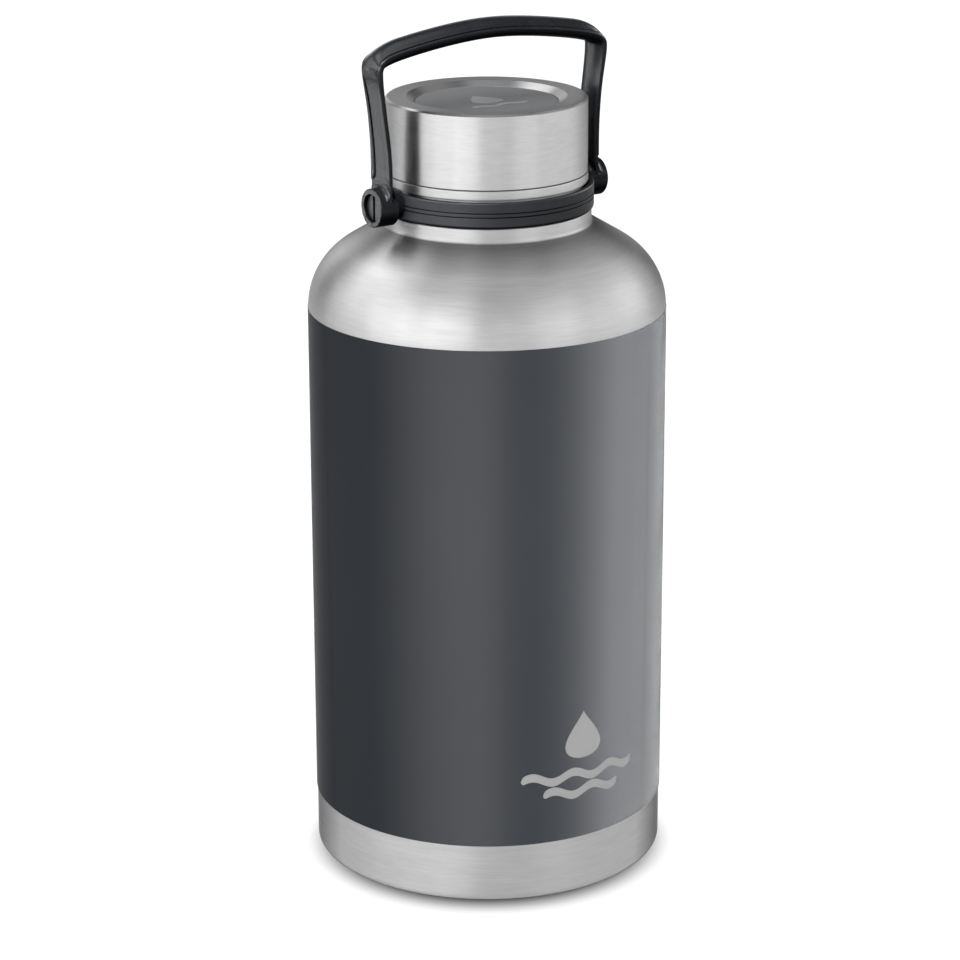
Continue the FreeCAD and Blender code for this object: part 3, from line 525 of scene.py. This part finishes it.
# ------------------------------------------------------------------ collar
# Lug and hole outlines list (radius about the pivot, distance from the bottle's axis).
LUG = rounded([(0.0, 35.62), (4.8, 35.62), (4.8, 38.6, 0.35), (0.0, 38.6)])
LUG_HOLE = [(0.0, 32.0), (2.81, 32.0), (2.81, 38.35), (3.2, 38.8), (3.2, 41.0), (0.0, 41.0)]

collar = lathe("collar", [
    (33.45, 234.6, 0.2), (37.0, 234.6, 1.0), (37.0, 238.3, 0.05), (36.6, 238.3), (36.6, 238.7),
    (37.0, 238.7, 0.05), (37.0, 239.7, 0.05), (36.6, 239.7), (36.6, 240.1), (37.0, 240.1, 0.05),
    (37.0, 243.5, 0.35), (35.5, 243.5, 0.12), (33.45, 242.3, 0.2)], segs=320)
for side in (-1, 1):
    boolean(collar, pivot_lathe("lug", LUG, 96, side), "UNION")
    boolean(collar, pivot_lathe("hole", LUG_HOLE, 96, side), "DIFFERENCE")
tidy(collar, smooth_deg=35)
dress(collar, "black_plastic", "collar", "collar_ring", material="collar_plastic")

# ------------------------------------------------------------------ handle's line
LEG_X = 43.05              # the straight legs' distance from the bottle's axis
LEG_TOP = 246.0            # where the straight legs meet the curve
LEG_STATIONS = (239.4, 241.0, 242.5, 243.5, 244.5, 245.5)
LEG_FOOT_WIDTH = 12.9

# Control points (x, z) of one half of the cubic curve, from the leg to the top.
HALF = [(LEG_X, LEG_TOP), (42.8, 256.0), (44.0, 267.0), (45.4, 279.0), (47.4, 287.7),
        (43.9, 291.6), (30.0, 294.2), (15.5, 296.1), (0.0, 297.15)]
POLES = np.array([(-x, z) for x, z in HALF] + HALF[-2::-1], float)
INNER = len(POLES) - 4
KNOTS = [0.0] * 4 + [i / (INNER + 1) for i in range(1, INNER + 1)] + [1.0] * 4
SLOPES = [3 * (POLES[i + 1] - POLES[i]) / (KNOTS[i + 4] - KNOTS[i + 1])
          for i in range(len(POLES) - 1)]


def spline(poles, knots, degree, t):
    """Value of a B-spline at t, by de Boor's algorithm."""
    k = max(i for i in range(degree, len(poles)) if knots[i] <= t)
    d = list(poles[k - degree:k + 1])
    for r in range(1, degree + 1):
        for j in range(degree, r - 1, -1):
            low, high = knots[j + k - degree], knots[j + 1 + k - r]
            share = (t - low) / (high - low)
            d[j] = (1 - share) * d[j - 1] + share * d[j]
    return d[degree]


# Section sizes against the share of the way from the arch's top (0) to the leg (1).
WIDTH = [(0.0, 13.2), (0.30, 12.8), (0.50, 12.0), (0.80, 10.7), (1.0, 12.3)]
EDGE = [(0.0, 1.1), (0.34, 1.1), (0.52, 1.0), (1.0, 0.9)]    # side wall's depth
BELLY = [(0.0, 2.7), (0.42, 2.9), (0.60, 2.2), (0.74, 1.5), (1.0, 1.5)]   # depth below it
LEG_SINK = 0.35            # how far the leg's outer face lies inside the handle's line
CROWN = [(0.0, 3.0), (0.34, 2.8), (0.56, 0.6), (0.68, -LEG_SINK), (1.0, -LEG_SINK)]  # grip
RIM = [(0.0, 1.3), (0.62, 1.3), (0.80, 1.7), (1.0, 2.6)]     # lip beside the channel
ROUND = [(0.0, 0.95), (0.58, 0.95), (0.74, 0.28), (1.0, 0.28)]  # lip's outer radius
CHANNEL_DEPTH = 1.12
CHANNEL_Z = 248.1          # the channel for the grip ends here on both legs
CHANNEL_STEP = 0.01        # half the distance between the sections at its end wall

Station = namedtuple("Station", "x z out_x out_z share width")


def lookup(share, rows):
    """Value of a (share, value) table, eased between its rows."""
    for (a, u), (b, v) in zip(rows, rows[1:]):
        if share <= b:
            k = (share - a) / (b - a)
            return u + (v - u) * (k * k * (3 - 2 * k))


def stations():
    """Stations up the -X leg, over the arch and down the +X leg."""
    taper = WIDTH[-1][1] - LEG_FOOT_WIDTH
    foot = LEG_STATIONS[0]
    leg = [Station(-LEG_X, z, -1.0, 0.0, 1.0,
                   LEG_FOOT_WIDTH + taper * ((z - foot) / (LEG_TOP - foot)))
           for z in LEG_STATIONS]
    close = [0.003 * i for i in range(1, 22)]    # closer stations near both ends
    places = sorted(set([i / 220.0 for i in range(221)] + close + [1 - c for c in close]))
    curve = []
    for u in places:
        t = min(u, 1.0 - 1e-9)
        x, z = spline(POLES, KNOTS, 3, t)
        slope = spline(SLOPES, KNOTS[1:-1], 2, t)
        along_x, along_z = slope / np.linalg.norm(slope)
        share = abs(u - 0.5) * 2
        curve.append(Station(x, z, -along_z, along_x, share, lookup(share, WIDTH)))
    return leg + curve + [s._replace(x=-s.x, out_x=-s.out_x) for s in reversed(leg)]


def with_end_walls(line):
    """Add a close pair of stations wherever the line passes the channel's end."""
    full = []
    for a, b in zip(line, line[1:]):
        full.append(a)
        if (a.z - CHANNEL_Z) * (b.z - CHANNEL_Z) < 0:
            step = CHANNEL_STEP if a.z < b.z else -CHANNEL_STEP
            for z in (CHANNEL_Z - step, CHANNEL_Z + step):
                k = (z - a.z) / (b.z - a.z)
                full.append(Station(*(p + (q - p) * k for p, q in zip(a, b))))
    return full + [line[-1]]


def rim_width(st):
    """Width of the lip, which curls out to the edge at the channel's end."""
    rim = lookup(st.share, RIM)
    narrowest, curl_length = 0.3, 2.6
    curl = st.z - CHANNEL_Z
    if 0 <= curl < curl_length:
        bow = math.sqrt(max(0.0, 1 - ((curl_length - curl) / curl_length) ** 2))
        rim = narrowest + (rim - narrowest) * bow
    return rim


def mirrored(points):
    return [(-y, n) for y, n in reversed(points)]


def placed(st, section):
    """Section points (y, distance outward from the line) in space."""
    return [(st.x + st.out_x * n, y, st.z + st.out_z * n) for y, n in section]


def frame_section(st):
    half, edge, belly = st.width / 2, lookup(st.share, EDGE), lookup(st.share, BELLY)
    in_channel = st.z >= CHANNEL_Z
    top, depth = (0.0, CHANNEL_DEPTH) if in_channel else (-LEG_SINK, LEG_SINK)
    bevel, bevel_mid, wall_gap = 0.12, 0.035, 0.02
    rim = rim_width(st)
    inner = half - rim
    r = min(lookup(st.share, ROUND), rim - 0.13)
    lip = [(-half, -edge), (-half, top - r - wall_gap)]
    for k in range(9):
        angle = math.pi / 2 * k / 8
        lip.append((-half + r - r * math.cos(angle), top - r + r * math.sin(angle)))
    lip += [(-inner - bevel - (half - r - inner - bevel) * 0.5, top),
            (-inner - bevel, top),
            (-inner - bevel_mid, top - bevel_mid * in_channel),
            (-inner, top - bevel * in_channel)]
    channel = [(-inner + 2 * inner * k / 16, -depth) for k in range(17)]
    under = []
    fullness = 0.86        # below 1 the underside is fuller than an ellipse
    for k in range(1, 28):
        angle = math.pi * k / 28
        across = math.copysign(abs(math.cos(angle)) ** fullness, math.cos(angle))
        under.append((half * across, -edge - belly * abs(math.sin(angle)) ** fullness))
    return placed(st, lip + channel + mirrored(lip) + under)


def grip_section(st):
    side_gap, floor_gap = 0.05, 0.03
    half = st.width / 2 - rim_width(st) - side_gap
    crown = lookup(st.share, CROWN)
    low = -CHANNEL_DEPTH + floor_gap
    lip = 0.02 + crown * 0.12 if crown > 0 else crown
    r = 0.22
    wall = [(-half, low), (-half, lip - r - 0.1), (-half, lip - r)]
    wall += [(-half + r * (1 - math.cos(angle)), lip - r + r * math.sin(angle))
             for angle in (math.pi / 6, math.pi / 3, math.pi / 2.2)]
    dome = []
    for k in range(1, 22):
        y = (half - r) * (-1 + 2 * k / 22)
        dome.append((y, lip + (crown - lip) * (1 - (y / half) ** 2)))
    base = [(half - 2 * half * k / 6, low) for k in range(1, 6)]
    return placed(st, wall + dome + mirrored(wall) + base)


def sweep(name, loops):
    """Closed tube through equal loops of points, with an end face on each end."""
    n = len(loops[0])
    faces = []
    for start in range(0, (len(loops) - 1) * n, n):
        for j in range(n):
            k = (j + 1) % n
            faces.append((start + j, start + k, start + n + k, start + n + j))
    faces.append(tuple(range(n)))
    faces.append(tuple(reversed(range((len(loops) - 1) * n, len(loops) * n))))
    return mesh_object(name, [p for loop in loops for p in loop], faces, smooth_deg=35)


# ------------------------------------------------------------------ handle's pivots
# Outlines list (radius about the pivot, distance from the bottle's axis).
EYE_RADIUS = 6.65
EYE = rounded([(0.0, 39.2), (EYE_RADIUS, 39.2, 0.45), (EYE_RADIUS, 46.65, 0.35), (0.0, 46.65)])
EYE_BORE = [(0.0, 30.0), (8.5, 30.0), (8.5, 39.2), (3.35, 39.2), (3.05, 39.5), (3.05, 43.9),
            (4.8, 43.9), (4.8, 46.5), (4.98, 46.68), (4.98, 50.0), (0.0, 50.0)]
# Fillets between eye and leg: radius, the leg's face, and +1 for outward or -1 for inward.
FILLETS = ((2.0, LEG_X - LEG_SINK, 1), (0.8, 40.32, -1))
BOX_FACES = [(0, 1, 3, 2), (4, 6, 7, 5), (0, 4, 5, 1), (2, 3, 7, 6), (0, 2, 6, 4), (1, 5, 7, 3)]


def fillet(radius, face, sign, side):
    """Concave ring round the eye, kept only where the leg runs above the pivot."""
    overlap, root, core = 0.3, EYE_RADIUS - 0.01, 6.3
    profile = [(core, face - sign * overlap), (core, face + sign * radius)]
    for k in range(13):
        angle = math.pi / 2 * k / 12
        profile.append((root + radius * (1 - math.cos(angle)),
                        face + sign * (radius - radius * math.sin(angle) - 0.004)))
    profile.append((root + radius, face - sign * overlap))
    wedge = pivot_lathe("wedge", profile, 200, side)
    corners = [(side * x, y, z) for x in (38.0, 47.0) for y in (-6.12, 6.12)
               for z in (PIVOT_Z + 1.8, PIVOT_Z + 12.0)]
    boolean(wedge, mesh_object("box", corners, BOX_FACES), "INTERSECT")
    return wedge


line = with_end_walls(stations())
handle = sweep("handle", [frame_section(st) for st in line])
for side in (-1, 1):
    boolean(handle, pivot_lathe("eye", EYE, 160, side), "UNION")
    for radius, face, sign in FILLETS:
        boolean(handle, fillet(radius, face, sign, side), "UNION")
    boolean(handle, pivot_lathe("cut", EYE_BORE, 128, side), "DIFFERENCE")
tidy(handle, smooth_deg=38)
dress(handle, "black_plastic", "handle", "handle_frame")

grip = sweep("grip", [grip_section(st) for st in line if st.z > CHANNEL_Z + CHANNEL_STEP / 2])
dress(grip, "grip_plastic", "handle", "handle_grip")

# ------------------------------------------------------------------ lid
cap = lathe("lid_cap", [
    (34.8, 247.45, 0.12), (34.8, 272.3, 0.25), (34.1, 273.0, 0.25), (27.7, 273.0, 0.15),
    (24.75, 271.2, 0.1), (24.75, 270.4), (0.0, 270.4), (0.0, 269.8), (25.35, 269.8),
    (25.35, 270.8), (28.05, 272.4), (33.9, 272.4), (34.2, 271.8), (34.2, 247.45)], segs=320)
dress(cap, "steel_lid", "lid", "lid_shell")
cap.data.materials.append(MATERIALS["steel_top_painted_shade"])
for poly in cap.data.polygons:               # turned top face and bevel with painted shade in their colour, brushed side wall
    z, r = poly.center.z, poly.center.xy.length
    if z > 272.2 * MM or (z > 269.5 * MM and r < 33.5 * MM):
        poly.material_index = 1

disc = lathe("lid_badge", [
    (0.0, 270.42), (24.6, 270.42), (24.6, DISC_TOP, 0.2), (0.0, DISC_TOP)], segs=256)
dress(disc, "disc_grey", "lid", "lid_disc")

seal = lathe("lid_seal_ring", [
    (31.0, 247.22, 0.35), (33.9, 247.22, 0.35), (33.9, 248.82, 0.1), (31.0, 248.82, 0.1)],
    segs=256)
dress(seal, "silicone", "lid_seal", "lid_gasket")


# ------------------------------------------------------------------ printed marks
def print_object(name, shapes, lift, wrap):
    """Thin raised patches. Each shape is a grid of (across, up) points, and wrap
    lays such a point, with its lift, on the printed surface."""
    verts, faces = [], []
    for grid in shapes:
        rows, cols = len(grid), len(grid[0])
        base = len(verts)
        for layer_lift in (0.0, lift):
            verts += [wrap(a, b, layer_lift) for row in grid for a, b in row]

        def at(layer, i, j):
            return base + layer * rows * cols + i * cols + j

        for i in range(rows - 1):
            for j in range(cols - 1):
                faces.append((at(1, i, j), at(1, i, j + 1), at(1, i + 1, j + 1), at(1, i + 1, j)))
                faces.append((at(0, i, j), at(0, i + 1, j), at(0, i + 1, j + 1), at(0, i, j + 1)))
        rim = ([(0, j) for j in range(cols)] + [(i, cols - 1) for i in range(1, rows)]
               + [(rows - 1, j) for j in range(cols - 2, -1, -1)]
               + [(i, 0) for i in range(rows - 2, 0, -1)])
        for (i, j), (k, m) in zip(rim, rim[1:] + rim[:1]):
            faces.append((at(0, i, j), at(0, k, m), at(1, k, m), at(1, i, j)))
    return mesh_object(name, verts, faces, smooth_deg=50)


def drop_shape(x, y, height, width):
    """Water drop that stands on (x, y), round at the bottom and pointed at the top."""
    rows = []
    for i in range(49):
        t = 0.003 + 0.985 * (1 - math.cos(math.pi * i / 48)) / 2
        angle = math.acos(2 * t - 1)
        half = width / 2 * math.sin(angle) * math.sin(angle / 2) ** 1.6 * 1.44
        rows.append([(x + half * k / 4, y + t * height) for k in range(-4, 5)])
    return rows


def wave_shape(x, y, length, stroke, swing, periods):
    """Wavy stroke with round ends, centred on (x, y)."""
    lower, middle, upper = [], [], []
    half = stroke / 2
    for k in range(97):
        q = k / 96
        along = x + (q - 0.5) * length
        height = y + swing * math.sin(2 * math.pi * periods * q)
        to_end = min(q, 1 - q) * length
        share = 1.0
        if to_end < half:
            share = max(0.08, math.sqrt(1 - (1 - to_end / half) ** 2))
        lower.append((along, height - half * share))
        middle.append((along, height))
        upper.append((along, height + half * share))
    return [lower, middle, upper]


def on_coat(across, up, lift):
    angle = -math.pi / 2 + across / COAT_RADIUS
    r = COAT_RADIUS - PRINT_SINK + lift
    return (r * math.cos(angle), r * math.sin(angle), up)


def on_disc(across, up, lift):
    return (across, up, DISC_TOP - PRINT_SINK + lift)


MARK_X, MARK_Z = -1.2, 38.0
coat_mark = print_object("coat_mark", [
    drop_shape(MARK_X, MARK_Z + 12.6, height=17.5, width=14.5),
    wave_shape(MARK_X, MARK_Z + 6.6, length=47.0, stroke=3.1, swing=1.25, periods=3.0),
    wave_shape(MARK_X, MARK_Z + 0.6, length=31.0, stroke=3.1, swing=1.25, periods=2.0)],
    lift=0.035, wrap=on_coat)
dress(coat_mark, "print", "bottle")

badge_mark = print_object("badge_mark", [
    drop_shape(0.0, -4.6, height=14.0, width=11.5),
    wave_shape(0.0, -8.4, length=22.0, stroke=2.2, swing=0.9, periods=2.0)],
    lift=0.03, wrap=on_disc)
dress(badge_mark, "print", "lid", material="disc_print")

# ------------------------------------------------------------------ carried-over nodes
CARRIED = {
    "vacuum_seal_bead": "braze", "inner_flask": "steel_inner", "inner_base": "steel_inner",
    "copper_wrap": "copper", "getter_bracket": "steel_inner", "getter_pellet": "getter",
    "pivot_insert_left": "brass", "pivot_insert_right": "brass",
    "pivot_washer_left": "washer_plastic", "pivot_washer_right": "washer_plastic",
    "pivot_screw_left": "screw_black", "pivot_screw_right": "screw_black",
    "lid_plug": "plug_plastic", "lid_insulation": "foam", "lid_core_cover": "plug_plastic"}
for name, slot in CARRIED.items():
    paint(frame["nodes"][name], slot)


# ------------------------------------------------------------------ floor
def floor_material():
    """Pale diffuse floor. The camera sees it glow, with a painted contact shadow in the glow
    that leans towards the camera."""
    g = material_graph("pale_floor")
    cloud = g.noise(scale=9.0, detail=3.0, rough=0.5)
    tone = g.blend(g.remap(cloud, NOISE_RANGE), dark=(0.885,) * 3, light=(0.90,) * 3)
    seen = g.node("ShaderNodeLightPath").outputs["Is Camera Ray"]
    unseen_floor = g.shader("ShaderNodeBsdfDiffuse", tone)
    x, y, _ = g.separate(g.coordinates())
    azimuth = math.radians(CAMERA_AZIMUTH)
    lean = 6.7 * MM
    away = g.length(g.math("SUBTRACT", x, math.sin(azimuth) * lean),
                    g.math("ADD", y, math.cos(azimuth) * lean))
    # painted contact shadow: the glow fades in a circle round the base, shifted towards the camera
    core = g.remap(away, source=(51.7 * MM, 67.0 * MM), interpolation_type="SMOOTHSTEP")
    shadow_fringe = g.remap(away, source=(60 * MM, 73 * MM), target=(0.86, 1.03))
    glow = g.shader("ShaderNodeEmission", WHITE, g.math("MULTIPLY", core, shadow_fringe))
    dim = g.shader("ShaderNodeBsdfDiffuse", (0.10, 0.10, 0.10, 1))
    sheet = g.shader("ShaderNodeAddShader", dim, glow)
    g.finish(g.shader("ShaderNodeMixShader", seen, unseen_floor, sheet))
    return g.owner


FLOOR_HALF, FLOOR_CELLS = 30000.0, 12
floor_paint = floor_material()
ticks = [-FLOOR_HALF + 2 * FLOOR_HALF * i / FLOOR_CELLS for i in range(FLOOR_CELLS + 1)]
row = len(ticks)
floor = mesh_object("floor", [(x, y, 0.0) for y in ticks for x in ticks],
                    [(j * row + i, j * row + i + 1, (j + 1) * row + i + 1, (j + 1) * row + i)
                     for j in range(FLOOR_CELLS) for i in range(FLOOR_CELLS)])
floor.data.materials.append(floor_paint)
floor.visible_shadow = False                 # panels below the floor's level light the coat's wall


# ------------------------------------------------------------------ world
def build_world():
    """Ambient fill, strong at the horizon and faint overhead; the camera sees white."""
    SCENE.world = bpy.data.worlds.new("studio")
    g = Graph(SCENE.world, "ShaderNodeOutputWorld")
    seen = g.node("ShaderNodeLightPath").outputs["Is Camera Ray"]
    strength = g.remap(seen, target=(0.0, 1.05))    # upper value: what the camera sees
    up = g.separate(g.coordinates("Generated"))[2]
    falloff = g.math("POWER", g.remap(up, target=(1.0, 0.0)), 2.5)
    ambient = g.math("MULTIPLY", falloff, 0.30)
    ambient.node.name = "ambient"
    g.link(ambient, strength.node.inputs[3])
    g.finish(g.shader("ShaderNodeBackground", WHITE, strength))


build_world()


# ------------------------------------------------------------------ lights
def receivers(name, pick):
    """The pieces that one set of panels lights."""
    group = bpy.data.collections.new(name)
    for ob in SCENE.objects:
        if ob.type == "MESH" and pick(ob.name):
            group.objects.link(ob)
    return group


DARK = {"collar", "handle", "grip", "pivot_screw_left", "pivot_screw_right",
        "pivot_washer_left", "pivot_washer_right"}
DISC = {"lid_badge", "badge_mark"}
FOR_STEEL = receivers("lit_steel", lambda name: name not in DARK | DISC | {"coat"})
FOR_COAT = receivers("lit_coat", lambda name: name == "coat")
FOR_DARK = receivers("lit_dark", lambda name: name in DARK)
FOR_DISC = receivers("lit_disc", lambda name: name in DISC)

AIM = Vector((0, 0, 0.15))
# Soft panels round the bottle: name, receivers, elevation in degrees, distance, width and
# height in metres, then (azimuth from the camera's side, + to the right, power in W).
PANELS = [
    ("ring", FOR_STEEL, 18, 1.7, 0.70, 0.75, [
        (-180, 0.4), (-157.5, 1.2), (-112.5, 1.8), (-90, 2.5), (-67.5, 4.7), (-45, 5.5),
        (-22.5, 6.2), (0, 2.6), (22.5, 2.3), (45, 3.5), (67.5, 2.6), (90, 2.7), (112.5, 2.8),
        (135, 1.1)]),
    ("high", FOR_STEEL, 50, 1.7, 1.15, 0.80, [
        (-135, 6.4), (-90, 0.7), (45, 1.3), (90, 1.1), (135, 1.3)]),
    ("roof", FOR_STEEL, 90, 1.9, 1.30, 1.30, [(0, 4.0)]),
    ("wall", FOR_COAT, -14, 1.7, 0.42, 1.50, [
        (-165, 1.5), (-135, 1.0), (-105, 0.6), (-60, 3.0), (-45, 5.9), (-30, 8.6), (-15, 9.2),
        (0, 10.2), (15, 3.0), (30, 1.7), (45, 3.2), (60, 9.1), (75, 18.5), (90, 29.0),
        (105, 20.0), (120, 21.0), (135, 17.0), (150, 5.0)]),
    ("side", FOR_DARK, 18, 1.7, 0.70, 0.75, [
        (-180, 2.0), (-157.5, 5.0), (-112.5, 7.0), (-90, 14.0), (-67.5, 32.0), (-45, 34.0),
        (-22.5, 36.0), (90, 9.0), (112.5, 12.0), (135, 18.0)]),
    ("flank", FOR_DARK, -14, 1.7, 0.60, 1.20, [(-115, 10.0), (-40, 3.0)]),
    ("over", FOR_DARK, 55, 1.7, 0.90, 0.60, [(-90, 16.0), (-12, 60.0)]),
    ("lamp", FOR_DARK, 90, 1.9, 1.30, 1.30, [(0, 21.0)]),
    ("disc", FOR_DISC, 90, 1.9, 1.30, 1.30, [(0, 22.0)]),
    ("rim", FOR_DISC, 50, 1.7, 1.15, 0.80, [(-90, 6.0), (0, 6.0), (90, 6.0), (180, 6.0)]),
]
for kind, lit, elevation, distance, width, height, spots in PANELS:
    for i, (azimuth, power) in enumerate(spots):
        a, e = math.radians(azimuth + CAMERA_AZIMUTH), math.radians(elevation)
        back = Vector((math.sin(a) * math.cos(e), -math.cos(a) * math.cos(e), math.sin(e)))
        light = bpy.data.lights.new("%s_%d" % (kind, i), "AREA")
        light.shape, light.size, light.size_y = "RECTANGLE", width, height
        light.energy = power
        lamp = bpy.data.objects.new(light.name, light)
        SCENE.collection.objects.link(lamp)
        lamp.location = AIM + back * distance
        lamp.rotation_mode = "QUATERNION"
        lamp.rotation_quaternion = back.to_track_quat("Z", "Y")
        lamp.visible_camera = False
        lamp.light_linking.receiver_collection = lit
        if elevation < 0:                    # part of it is below the floor, so rays can't find it
            light.cycles.use_multiple_importance_sampling = False

# ------------------------------------------------------------------ camera
# Place and angles (radians) hold before the turn about Z by the camera's azimuth.
CAMERA_PLACE = Vector((0.0, -1.0961875, 0.4878))
PITCH, YAW, ROLL = 0.3116, -0.0024, -0.0029


def turned(v):
    angle = -math.radians(CAMERA_AZIMUTH)
    c, s = math.cos(angle), math.sin(angle)
    return Vector((v.x * c + v.y * s, -v.x * s + v.y * c, v.z))


camera_data = bpy.data.cameras.new("camera")
camera_data.sensor_width, camera_data.lens = 36.0, 121.65
camera_data.clip_start, camera_data.clip_end = 0.01, 200.0
camera = bpy.data.objects.new("camera", camera_data)
SCENE.collection.objects.link(camera)
forward = Vector((math.sin(YAW) * math.cos(PITCH), math.cos(YAW) * math.cos(PITCH),
                  -math.sin(PITCH)))
level = Vector((math.cos(YAW), -math.sin(YAW), 0.0))
upright = level.cross(forward)
right = level * math.cos(ROLL) + upright * math.sin(ROLL)
up = upright * math.cos(ROLL) - level * math.sin(ROLL)
columns = (turned(right), turned(up), -turned(forward), turned(CAMERA_PLACE))
camera.matrix_world = Matrix([[c[i] for c in columns] for i in range(3)] + [(0, 0, 0, 1)])
SCENE.camera = camera
SCENE.view_settings.view_transform = "Standard"
SCENE.view_settings.look = "None"
